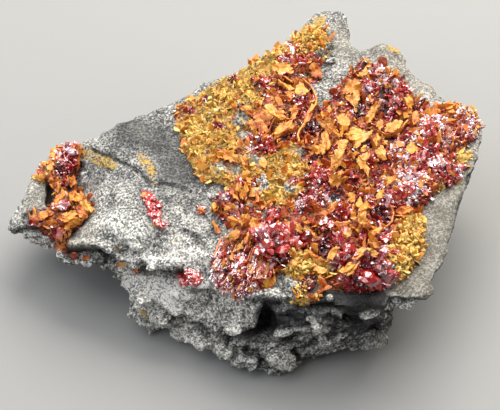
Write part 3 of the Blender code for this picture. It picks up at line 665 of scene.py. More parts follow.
def makeStone():
    look = stone
    noise.seed_set(look["seed"])
    body = stoneBody.copy()
    for block in blocks:
        addBlock(body, *block)
    rock = fromBmesh("limestone_matrix", body)
    remesh = rock.modifiers.new("even skin", "REMESH")
    remesh.mode = "VOXEL"
    remesh.voxel_size = look["voxel"] * mm
    smooth = rock.modifiers.new("softened", "SMOOTH")
    smooth.iterations = look["soften"]
    plain(rock)
    mesh = rock.data
    places = rowsOf(mesh.vertices, "co")
    normals = rowsOf(mesh.vertex_normals, "vector")
    topShare = fade(normals[:, 2], *look["topFrom"])
    rise = np.zeros(len(places))
    for i, (place, normal) in enumerate(zip(places, normals)):
        q = Vector(place) / mm
        top = topShare[i]
        out = 0.0
        if top < 1:
            calm = 1.0
            if normal[1] > look["backFrom"] or q.x > look["edgeFrom"]:
                rim = look["edgeCalm"] if q.x > look["edgeFrom"] else look["calm"]
                calm -= (1 - rim) * float(fade(q.z, *look["calmAbove"]))
            elif q.x > look["rightFrom"]:
                calm = look["frontCalm"]
            out += (1 - top) * calm * sum(facets(q, depth, size) for depth, size in look["wallBreaks"])
            height = (q.z - look["bedClimb"] * q.x) / look["bedStep"]
            for waver, size in look["bedWaver"]:
                height += waver * noise.noise(q / size)
            always, sometimes, size = look["bedPatches"]
            patch = noise.noise(q / size + Vector((5, 5, 5)))
            depth = look["bedDepth"] * max(0, always + sometimes * patch)
            out += (1 - top) * depth * (2 * abs(2 * (height % 1) - 1) - 1)
            high, size = look["wallGrain"]
            out += (1 - top) * high * grains(q, 1, size)
        if top > 0:
            out += top * sum(grains(q, height, size) for height, size in look["skinGrains"])
            out += top * look["skinSwell"][0] * noise.noise(q / look["skinSwell"][1])
        rise[i] = out * mm
    for out, radius, path in reliefs:
        rise += out * mm * nearPath(places, path, radius)
    toneAndPaintedLight = np.zeros(len(places))
    for amount, radius, path in tonesAndPaintedLight:
        toneAndPaintedLight += amount * nearPath(places, path, radius)
    x = places[:, 0] / mm
    wall = 1 - fade(normals[:, 2], *look["wallFrom"])
    front = fade(-normals[:, 1], *look["frontFrom"])
    pitShade = look["topPitShade"] + (look["wallPitShade"] - look["topPitShade"]) * wall
    # painted shade and light: pits darker and bumps paler, by how deep or high they are
    toneAndPaintedLight += np.clip(rise / mm, -look["deepest"], look["deepest"]) * pitShade
    onFloor = places[:, 2] < 0.05 * mm
    rise[onFloor] = 0
    moved = places + normals * rise[:, None]
    moved[:, 2] = np.maximum(moved[:, 2], 0)
    mesh.vertices.foreach_set("co", moved.ravel())
    mesh.update()
    tilted = rowsOf(mesh.vertex_normals, "vector")
    # painted light and shade: faces turned more upwards by the relief are paler, those turned downwards
    # darker
    toneAndPaintedLight += look["tiltPaintedLight"] * (tilted[:, 2] - normals[:, 2]) * (0.5 + 0.5 * wall)
    low, high, least = look["freshRight"]
    fresh = wall * (least + (1 - least) * fade(x, low, high) * front)
    low, high, least = look["freshLeft"]
    fresh = fresh * (least + (1 - least) * fade(x, low, high))
    much, most = look["paleFresh"]
    setFloats(mesh, "freshBreak", fresh * (1 - np.clip(much * toneAndPaintedLight, 0, most)))
    setFloats(mesh, "buff", inPatches(places, look["buff"], soft=0.6) * topShare)
    stain = np.max([nearPath(places, path, radius) for radius, path in look["stains"]], axis=0)
    setFloats(mesh, "stain", look["mostStain"] * stain)
    setFloats(mesh, "toneAndPaintedLight", toneAndPaintedLight)
    mesh.materials.clear()
    mesh.materials.append(stoneFinish)
    print("stone skin:", len(mesh.vertices), "points")
    return rock


rock = makeStone()
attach(rock, "root")
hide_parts("matrix")

# the larger plates, each an outline of (across, down, mm above the growth under it)

waxyPlates = [
    (0.35, [(252, 113, 1), (262, 108, 1.4), (274, 113, 1.6), (272, 120, 1.2), (268, 128, 0.8),
        (266, 134, 0.2), (258, 133, 0), (255, 124, 0.6)]),
    (0.75, [(262, 106, 1.4), (272, 104, 1.2), (281, 112, 1.4), (287, 118, 1.6), (283, 120, 1.5),
        (275, 116, 1.7)]),
    (0.4, [(276, 127, 1.6), (281, 122, 2), (288, 120, 2.2), (295, 122, 2), (299, 126, 1.5), (298, 132, 0.6),
        (291, 134, 0.3), (284, 135, 0.3), (278, 138, 0.2), (274, 143, 0), (273, 136, 0.8)]),
    (0.3, [(262, 142, 0.2), (268, 137, 0.8), (275, 132, 1.2), (277, 136, 0.6), (274, 146, 0.2),
        (272, 150, -0.2), (273, 141, 0.4)]),
    (0.35, [(312, 103, 1.4), (315, 105, 1.6), (309, 120, 1.6), (303, 129, 1.4), (301, 127, 1.2),
        (306, 115, 1.2)]),
    (0.4, [(238, 107, 0.4), (247, 104, 1), (256, 112, 1), (259, 119, 0.6), (250, 116, 0.4),
        (244, 112, 0.2)]),
    (0.5, [(247, 122, 0.3), (253, 120, 0.8), (259, 124, 0.7), (256, 130, 0.2), (249, 129, 0.1)]),
    (0.6, [(272, 65, 0.6), (283, 62, 1), (292, 66, 1), (294, 72, 0.6), (286, 74, 0.4), (274, 76, 0.3)]),
    (0.5, [(276, 79, 0.8), (285, 83, 1.2), (294, 88, 1.2), (290, 91, 0.8), (282, 87, 0.7)]),
    (0.65, [(294, 86, 0.8), (302, 82, 1.2), (309, 90, 1.2), (305, 95, 0.8), (297, 94, 0.4)]),
    (0.4, [(285, 92, 0.6), (292, 90, 0.9), (294, 97, 0.6), (288, 102, 0.3)]),
    (0.5, [(290, 108, 0.5), (296, 103, 1), (299, 110, 1), (295, 118, 0.6), (291, 121, 0.3)]),
    (0.1, [(262, 101, 0.5), (269, 99, 1), (274, 106, 1), (268, 110, 0.6), (263, 107, 0.4)]),
    (0.3, [(309, 66, 0.6), (315, 62, 1.2), (322, 70, 1.3), (321, 78, 0.8), (316, 80, 0.3), (311, 75, 0.2)]),
    (0.45, [(343, 88, 0.8), (349, 80, 1.6), (357, 78, 2.2), (362, 83, 2.2), (361, 92, 1.6), (352, 94, 1),
        (342, 94, 0.5)]),
    (0.87, [(342, 95, 0.5), (352, 94, 1.1), (361, 92, 1.6), (359, 101, 1.3), (355, 112, 0.6),
        (351, 103, 0.6)]),
    (0.75, [(363, 62, 0.5), (366, 58, 0.8), (369, 60, 1), (370, 66, 0.8), (366, 68, 0.6)]),
    (0.86, [(359, 74, 0.5), (362, 70, 0.8), (366, 66, 1.2), (367, 74, 1.1), (362, 77, 0.6)]),
    (0.85, [(384, 84, 0.9), (390, 82, 1.3), (391, 88, 1), (385, 88, 0.7)]),
    (0.65, [(369, 110, 0.7), (371, 106, 0.9), (376, 101, 1.6), (379, 105, 1.6), (377, 112, 1.2),
        (372, 114, 0.8)]),
    (0.4, [(366, 116, 0.6), (370, 110, 1.1), (376, 114, 1.2), (372, 120, 0.9), (367, 125, 0.5),
        (365, 121, 0.4)]),
    (0.55, [(316, 117, 0.6), (321, 120, 0.9), (329, 118, 1.3), (333, 121, 1.5), (338, 133, 1.6),
        (341, 139, 1.3), (335, 137, 0.8), (328, 133, 0.6), (321, 126, 0.4)]),
    (0.5, [(335, 118, 0.8), (339, 112, 1.5), (346, 114, 1.7), (350, 121, 1.6), (349, 126, 1.4),
        (344, 132, 1.3), (341, 139, 1.2), (340, 128, 0.9), (338, 122, 0.7)]),
    (0.75, [(344, 134, 1), (352, 127, 1.5), (360, 128, 1.8), (366, 131, 1.8), (362, 136, 1.5),
        (354, 141, 1.2), (347, 139, 0.8)]),
    (0.86, [(353, 141, 1), (362, 135, 1.6), (371, 129, 2), (374, 131, 2), (366, 139, 1.6), (358, 147, 1.2),
        (354, 147, 0.9)]),
    (0.15, [(359, 124, 0.8), (365, 121, 1.3), (367, 127, 1.3), (361, 129, 1)]),
    (0.4, [(377, 122, 0.9), (382, 118, 1.4), (384, 126, 1.3), (380, 131, 1), (377, 128, 0.8)]),
    (0.5, [(384, 127, 1), (391, 121, 1.2), (399, 119, 1.8), (404, 122, 2), (401, 127, 1.8), (392, 132, 1.5),
        (384, 132, 1.2)]),
    (0.5, [(322, 133, 0.8), (326, 131, 1.3), (329, 133, 1.3), (329, 148, 1.1), (325, 151, 0.8),
        (322, 145, 0.6)]),
    (0.65, [(337, 141, 0.6), (343, 138, 1.2), (349, 141, 1.2), (346, 150, 0.9), (339, 152, 0.6)]),
    (0.7, [(374, 137, 0.9), (378, 133, 1.5), (380, 137, 1.4), (376, 145, 1), (373, 143, 0.8)]),
    (0.5, [(382, 145, 0.5), (383, 142, 0.6), (387, 140, 1), (388, 146, 0.8)]),
    (0.6, [(312, 146, 0.5), (318, 144, 0.9), (326, 146, 1.1), (325, 153, 0.8), (317, 155, 0.4),
        (313, 152, 0.3)]),
    (0.7, [(334, 153, 0.8), (339, 145, 1.3), (345, 150, 1.4), (342, 156, 1.5), (346, 164, 1.3),
        (347, 170, 0.9), (340, 166, 0.8), (336, 170, 0.6), (331, 165, 0.6), (330, 158, 0.6)]),
    (0.8, [(351, 155, 0.8), (357, 150, 1.3), (359, 152, 1.3), (354, 158, 1.1), (352, 159, 0.8)]),
    (0.7, [(356, 158, 0.9), (362, 154, 1.6), (368, 151, 1.7), (371, 154, 1.5), (366, 157, 1.4),
        (367, 164, 1.3), (370, 168, 1.2), (368, 176, 0.8), (362, 169, 0.9), (357, 162, 0.9)]),
    (0.6, [(361, 148, 0.9), (366, 145, 1.3), (367, 150, 1.3), (362, 152, 1.1)]),
    (0.75, [(376, 150, 1), (382, 145, 1.6), (386, 150, 1.6), (387, 159, 1.2), (380, 160, 0.9),
        (376, 155, 0.8)]),
    (0.6, [(316, 162, 0.4), (320, 158, 0.8), (323, 165, 0.7), (317, 166, 0.3)]),
    (0.3, [(336, 173, 0.4), (342, 170, 0.8), (345, 173, 0.7), (339, 176, 0.3)]),
    (0.5, [(328, 175, 0.8), (334, 173, 1.5), (340, 175, 1.5), (342, 180, 1.3), (340, 186, 0.9),
        (333, 188, 0.7), (329, 183, 0.6)]),
    (0.55, [(383, 180, 0.8), (390, 176, 1.3), (398, 174, 1.4), (393, 180, 1.1), (387, 186, 0.8),
        (384, 184, 0.6)]),
    (0.8, [(377, 192, 0.9), (382, 188, 1.5), (384, 196, 1.3), (379, 200, 0.9), (376, 197, 0.8)]),
    (0.7, [(349, 201, 0.6), (352, 193, 1.4), (355, 196, 1.4), (355, 203, 1)]),
    (0.75, [(355, 203, 1), (361, 196, 1.6), (363, 203, 1.3), (358, 208, 0.9)]),
    (0.6, [(359, 206, 0.9), (367, 201, 1.6), (368, 206, 1.4), (364, 211, 0.9), (358, 211, 0.7)]),
    (0.5, [(350, 205, 0.8), (356, 205, 1), (353, 210, 0.6)]),
    (0.3, [(322, 214, 0.7), (330, 207, 1.3), (336, 200, 1.8), (338, 203, 1.7), (333, 212, 1.2),
        (324, 217, 0.8)]),
    (0.2, [(313, 224, 0.4), (321, 217, 0.9), (325, 220, 1), (319, 225, 0.7)]),
    (0.4, [(333, 222, 0.9), (341, 221, 1.4), (351, 221, 1.5), (347, 227, 1.1), (340, 227, 0.8)]),
    (0.88, [(357, 222, 0.8), (360, 215, 1.5), (366, 210, 1.7), (367, 217, 1.6), (368, 224, 1.2),
        (362, 227, 0.9), (358, 227, 0.7)]),
    (0.4, [(364, 225, 0.9), (369, 222, 1.4), (372, 228, 1), (366, 229, 0.7)]),
    (0.2, [(357, 213, 0.5), (361, 210, 0.9), (364, 213, 0.8), (358, 217, 0.5)]),
    (0.3, [(394, 212, 0.7), (399, 207, 1.3), (409, 205, 1.4), (415, 208, 1.2), (409, 212, 0.9),
        (400, 214, 0.6)]),
    (0.88, [(287, 222, 0.8), (296, 221, 1.6), (300, 225, 1.6), (302, 233, 1.2), (296, 231, 0.8),
        (290, 229, 0.6)]),
    (0.65, [(300, 223, 1.4), (306, 225, 1.7), (315, 233, 1.5), (318, 239, 1.2), (311, 238, 0.9),
        (304, 234, 0.9)]),
    (0.25, [(304, 221, 1), (311, 219, 1.4), (312, 224, 1.2), (306, 223, 1)]),
    (0.87, [(343, 231, 1.8), (350, 228, 2.3), (352, 236, 2.2), (346, 239, 1.8)]),
    (0.35, [(340, 234, 1.6), (346, 239, 1.9), (351, 240, 1.9), (358, 240, 2.1), (356, 243, 1.8)]),
    (0.5, [(369, 232, 1.7), (378, 227, 2.3), (384, 226, 2.4), (380, 231, 2.1), (374, 236, 1.7)]),
    (0.35, [(371, 244, 1.6), (375, 238, 2.3), (379, 241, 2.1), (383, 246, 1.8), (376, 248, 1.5)]),
    (0.65, [(352, 258, 1.7), (357, 250, 2.3), (364, 246, 2.6), (372, 248, 2.6), (378, 253, 2.3),
        (375, 257, 2), (366, 253, 2), (360, 256, 1.8), (355, 262, 1.6)]),
    (0.6, [(326, 263, 1.3), (330, 250, 1.6), (334, 246, 2.2), (340, 247, 2.3), (336, 255, 1.9),
        (331, 261, 1.5)]),
    (0.5, [(305, 250, 0.6), (309, 249, 0.9), (318, 256, 1), (325, 261, 0.8), (323, 264, 0.5),
        (313, 258, 0.5)]),
    (0.7, [(338, 272, 1.4), (344, 266, 1.9), (352, 262, 2.1), (355, 264, 1.9), (350, 270, 1.6),
        (345, 274, 1.4)]),
    (0.75, [(346, 276, 1.4), (353, 268, 1.8), (360, 261, 2.2), (356, 268, 1.8), (350, 277, 1.4)]),
    (0.6, [(385, 246, 1.4), (392, 243, 1.8), (397, 247, 1.7), (390, 252, 1.3)]),
    (0.4, [(210, 221, 0.2), (214, 220, 0.6), (219, 226, 0.7), (222, 232, 0.5), (217, 234, 0.2),
        (214, 229, 0.1)]),
    (0.4, [(229, 184, 0.8), (233, 182, 1.2), (235, 190, 1.2), (240, 201, 1), (234, 198, 0.6),
        (230, 192, 0.5)]),
    (0.65, [(236, 183, 1), (241, 185, 1.3), (244, 193, 1.2), (243, 202, 0.8), (240, 196, 0.9),
        (237, 190, 0.9)]),
    (0.6, [(243, 195, 0.7), (244, 186, 0.8), (247, 180, 1), (248, 190, 1.1), (245, 200, 0.8)]),
    (0.5, [(247, 176, 0.8), (252, 178, 1), (251, 186, 0.8), (247, 184, 0.7)]),
    (0.5, [(228, 235, 0.6), (233, 230, 1.1), (239, 229, 1.3), (239, 236, 1), (233, 241, 0.7),
        (229, 240, 0.5)]),
    (0.05, [(220, 246, 0.3), (226, 240, 0.8), (230, 242, 0.8), (228, 250, 0.6), (222, 253, 0.3)]),
    (0.55, [(253, 216, 1), (257, 220, 1.3), (259, 226, 1.3), (255, 234, 1), (250, 242, 0.7),
        (245, 246, 0.5), (243, 242, 0.6), (248, 231, 1), (251, 223, 1)]),
    (0.6, [(238, 218, 0.5), (243, 214, 0.9), (248, 214, 1), (244, 220, 0.8), (242, 227, 0.5),
        (239, 224, 0.4)]),
    (0.6, [(236, 246, 0.6), (241, 243, 0.9), (244, 246, 0.7), (238, 250, 0.5)]),
    (0.5, [(230, 250, 0.5), (233, 254, 0.7), (234, 261, 0.5), (230, 259, 0.3)]),
    (0.5, [(263, 281, 0.5), (266, 277, 0.9), (272, 279, 1.1), (275, 275, 1.2), (276, 283, 0.8),
        (268, 290, 0.3), (264, 286, 0.3)]),
    (0.3, [(255, 190, 0.8), (258, 192, 1.1), (258, 204, 0.8), (255, 203, 0.6)]),
    (0.5, [(219, 212, 0.5), (226, 210, 0.9), (227, 215, 0.6), (221, 215, 0.4)]),
    (0.4, [(276, 222, 0.6), (279, 220, 1), (279, 228, 0.7), (276, 229, 0.5)]),
    (0.7, [(288, 263, 0.4), (294, 259, 0.8), (300, 259, 0.8), (296, 265, 0.5), (290, 268, 0.3)]),
    (0.7, [(312, 262, 0.5), (320, 266, 0.8), (328, 270, 0.7), (322, 275, 0.4), (314, 270, 0.4)]),
    (0.55, [(222, 148, 0.5), (228, 150, 0.9), (238, 155, 0.9), (236, 162, 0.5), (224, 160, 0.4)]),
    (0.5, [(240, 156, 0.6), (247, 153, 1), (249, 165, 0.6), (243, 166, 0.5)]),
    (0.6, [(258, 162, 0.5), (263, 158, 0.9), (268, 163, 0.8), (264, 170, 0.4)]),
    (0.6, [(405, 98, 0.9), (409, 93, 1.6), (413, 97, 1.6), (414, 104, 1.2), (410, 109, 0.9),
        (407, 105, 0.8)]),
    (0.4, [(411, 120, 0.7), (415, 110, 1.3), (419, 113, 1.3), (418, 121, 0.9), (413, 124, 0.7)]),
    (0.5, [(405, 148, 0.8), (411, 141, 1.4), (416, 144, 1.3), (419, 150, 1.1), (413, 154, 0.8),
        (407, 152, 0.7)]),
    (0.55, [(417, 184, 0.9), (422, 179, 1.4), (425, 184, 1.2), (420, 188, 0.9)]),
    (0.4, [(448, 146, 0.5), (453, 142, 1), (454, 148, 0.8), (450, 151, 0.4)]),
    (0.5, [(443, 105, 0.5), (449, 100, 0.9), (455, 104, 0.9), (449, 110, 0.5)]),
    (0.7, [(117, 265, 0.5), (121, 261, 1), (130, 262, 1), (127, 268, 0.7), (119, 269, 0.5)]),
    (0.2, [(133, 269, 0.5), (137, 267, 0.9), (139, 272, 0.8), (135, 275, 0.5)]),
    (0.5, [(141, 198, 0.2), (143, 192, 0.6), (147, 192, 0.7), (145, 197, 0.4)]),
    (0.5, [(152, 219, 0.3), (156, 217, 0.7), (160, 221, 0.8), (158, 227, 0.4), (153, 226, 0.3)]),
    (0.3, [(54, 246, 0.3), (60, 243, 0.8), (65, 247, 0.7), (61, 255, 0.4), (56, 254, 0.3)]),
    (0.1, [(70, 254, 0.5), (77, 253, 0.9), (78, 260, 0.8), (72, 262, 0.5)]),
    (0.15, [(82, 256, 0.5), (90, 256, 0.9), (91, 264, 0.8), (84, 265, 0.5)]),
    (0.3, [(196, 212, 0.3), (199, 207, 0.6), (205, 211, 0.5), (200, 215, 0.2)]),
    (0.45, [(67, 193, 0.5), (74, 190, 1), (80, 193, 1), (84, 200, 0.7), (77, 202, 0.4), (71, 199, 0.4)]),
    (0.6, [(78, 198, 0.6), (84, 199, 1), (90, 204, 1), (95, 211, 0.7), (87, 211, 0.4), (80, 205, 0.4)]),
    (0.35, [(74, 206, 0.4), (81, 205, 0.9), (90, 211, 0.8), (87, 219, 0.4), (80, 217, 0.3)]),
    (0.55, [(56, 217, 0.4), (64, 213, 0.9), (74, 209, 1.2), (78, 214, 0.9), (70, 221, 0.6),
        (60, 222, 0.3)]),
    (0.4, [(68, 222, 0.5), (77, 217, 1), (82, 221, 0.7), (75, 229, 0.4), (70, 230, 0.3)]),
    (0.6, [(63, 226, 0.4), (69, 224, 1), (73, 231, 0.8), (69, 238, 0.4), (65, 235, 0.2)]),
    (0.3, [(30, 219, 0.3), (39, 212, 0.8), (50, 209, 1), (54, 213, 0.8), (45, 219, 0.4), (37, 223, 0.2)]),
    (0.5, [(52, 204, 0.5), (56, 196, 1), (63, 191, 1.2), (67, 195, 1), (61, 201, 0.6), (55, 207, 0.3)]),
    (0.25, [(56, 238, 0.3), (62, 237, 0.8), (66, 243, 0.8), (63, 253, 0.4), (57, 251, 0.2)]),
    (0.4, [(46, 222, 0.3), (54, 219, 0.8), (60, 223, 0.9), (55, 229, 0.4), (49, 228, 0.2)]),
    (0.75, [(49, 154, 0.1), (51, 148, 0.3), (56, 145, 0.5), (57, 151, 0.5), (52, 159, 0.1)]),
    (0.85, [(47, 161, 0), (52, 158, 0.3), (54, 163, 0.4), (51, 171, 0.2), (47, 170, 0)]),
    (0.8, [(36, 180, 0.3), (41, 174, 0.8), (47, 174, 0.8), (44, 181, 0.4)]),
    (0.45, [(76, 144, 0.8), (80, 144, 1.1), (82, 153, 0.8), (78, 157, 0.5)]),
    (0.4, [(76, 160, 0.7), (80, 158, 1), (80, 168, 0.7), (76, 172, 0.4)]),
    (0.3, [(50, 182, 0.4), (57, 177, 1), (62, 180, 0.9), (55, 187, 0.4)]),
    (0.4, [(70, 177, 0.6), (75, 175, 1), (77, 183, 0.8), (72, 187, 0.4)]),
]
redPlates = [
    (0.5, [(334, 245, 0.7), (339, 239, 1.3), (345, 238, 1.6), (350, 245, 1.5), (354, 252, 1),
        (348, 250, 0.9), (343, 243, 1)]),
    (0.4, [(326, 224, 0.9), (331, 219, 1.4), (334, 226, 1.1), (329, 229, 0.8)]),
    (0.9, [(319, 224, 0.8), (324, 217, 1.2), (330, 218, 1.2), (325, 225, 0.9)]),
    (0.5, [(289, 245, 0.7), (292, 236, 1.3), (300, 236, 1.5), (299, 243, 1.1), (294, 246, 0.8)]),
    (0.5, [(298, 242, 0.8), (306, 240, 1.1), (308, 242, 1), (301, 245, 0.7)]),
    (0.6, [(266, 220, 0.5), (273, 211, 1.2), (278, 212, 1.2), (275, 219, 0.9), (270, 222, 0.6)]),
    (0.9, [(256, 234, 0.8), (259, 232, 1.2), (262, 243, 1.2), (268, 257, 0.9), (262, 252, 0.7),
        (257, 243, 0.6)]),
    (1, [(365, 84, 0.9), (371, 83, 1.5), (375, 90, 1.3), (369, 92, 0.9)]),
    (0.4, [(376, 235, 0.8), (381, 240, 1.3), (386, 243, 1.3), (391, 238, 1.1), (393, 230, 0.8),
        (385, 236, 0.9)]),
    (0.4, [(306, 236, 0.8), (311, 232, 1.2), (316, 239, 1), (309, 240, 0.7)]),
    (0.7, [(374, 281, 0.6), (378, 277, 1.3), (386, 284, 0.9), (384, 288, 0.5)]),
    (0.8, [(56, 206, 0.5), (61, 200, 1.3), (70, 203, 1.2), (66, 210, 0.9)]),
    (0.6, [(52, 236, 0.4), (58, 229, 1), (65, 232, 0.8), (60, 240, 0.3)]),
]
# rims that stand up along a path of (across, down, mm above the growth under it): tint, height in mm, path
waxyRims = [
    (0.55, 1.9, [(302, 78, 0.9), (309, 84, 1.2), (313, 90, 1.5), (316, 97, 1.7), (315, 104, 1.9),
        (310, 111, 2), (307, 117, 2), (303, 123, 2), (299, 129, 1.9), (297, 135, 1.7), (299, 141, 1.4)]),
    (0.6, 1.5, [(378, 131, 1), (386, 134, 1.4), (395, 132, 1.7), (403, 127, 1.9), (408, 120, 1.6)]),
    (0.5, 1.2, [(268, 133, 0.8), (272, 124, 1.3), (276, 117, 1.6), (285, 119, 1.8), (292, 119, 1.7)]),
    (0.5, 1, [(390, 205, 0.8), (393, 212, 1.2), (391, 221, 1.2), (385, 226, 1)]),
]

# where points are in the frame
def inFrame(points):
    away = (np.asarray(points) - np.array(eye)) @ np.array(eyeTurn.to_matrix())
    wide, high = view["frame"]
    scale = view["distance"] * wide / view["frameWidth"] / -away[:, 2]
    return wide / 2 + away[:, 0] * scale, high / 2 - away[:, 1] * scale


# which points lie inside an outline
def insideOf(loop, xs, ys):
    inside = np.zeros(len(xs), bool)
    for (ax, ay), (bx, by) in zip(loop, np.roll(loop, -1, 0)):
        if by != ay:
            inside ^= ((ay > ys) != (by > ys)) & (xs < ax + (ys - ay) * (bx - ax) / (by - ay))
    return inside


# which points lie behind a waxy plate
def underPlates(points):
    across, down = inFrame(points)
    hidden = np.zeros(len(across), bool)
    for _, corners in waxyPlates:
        hidden |= insideOf(np.array(corners)[:, :2], across, down)
    return hidden


# where each kind of growth is, by (across, down, radius in mm)

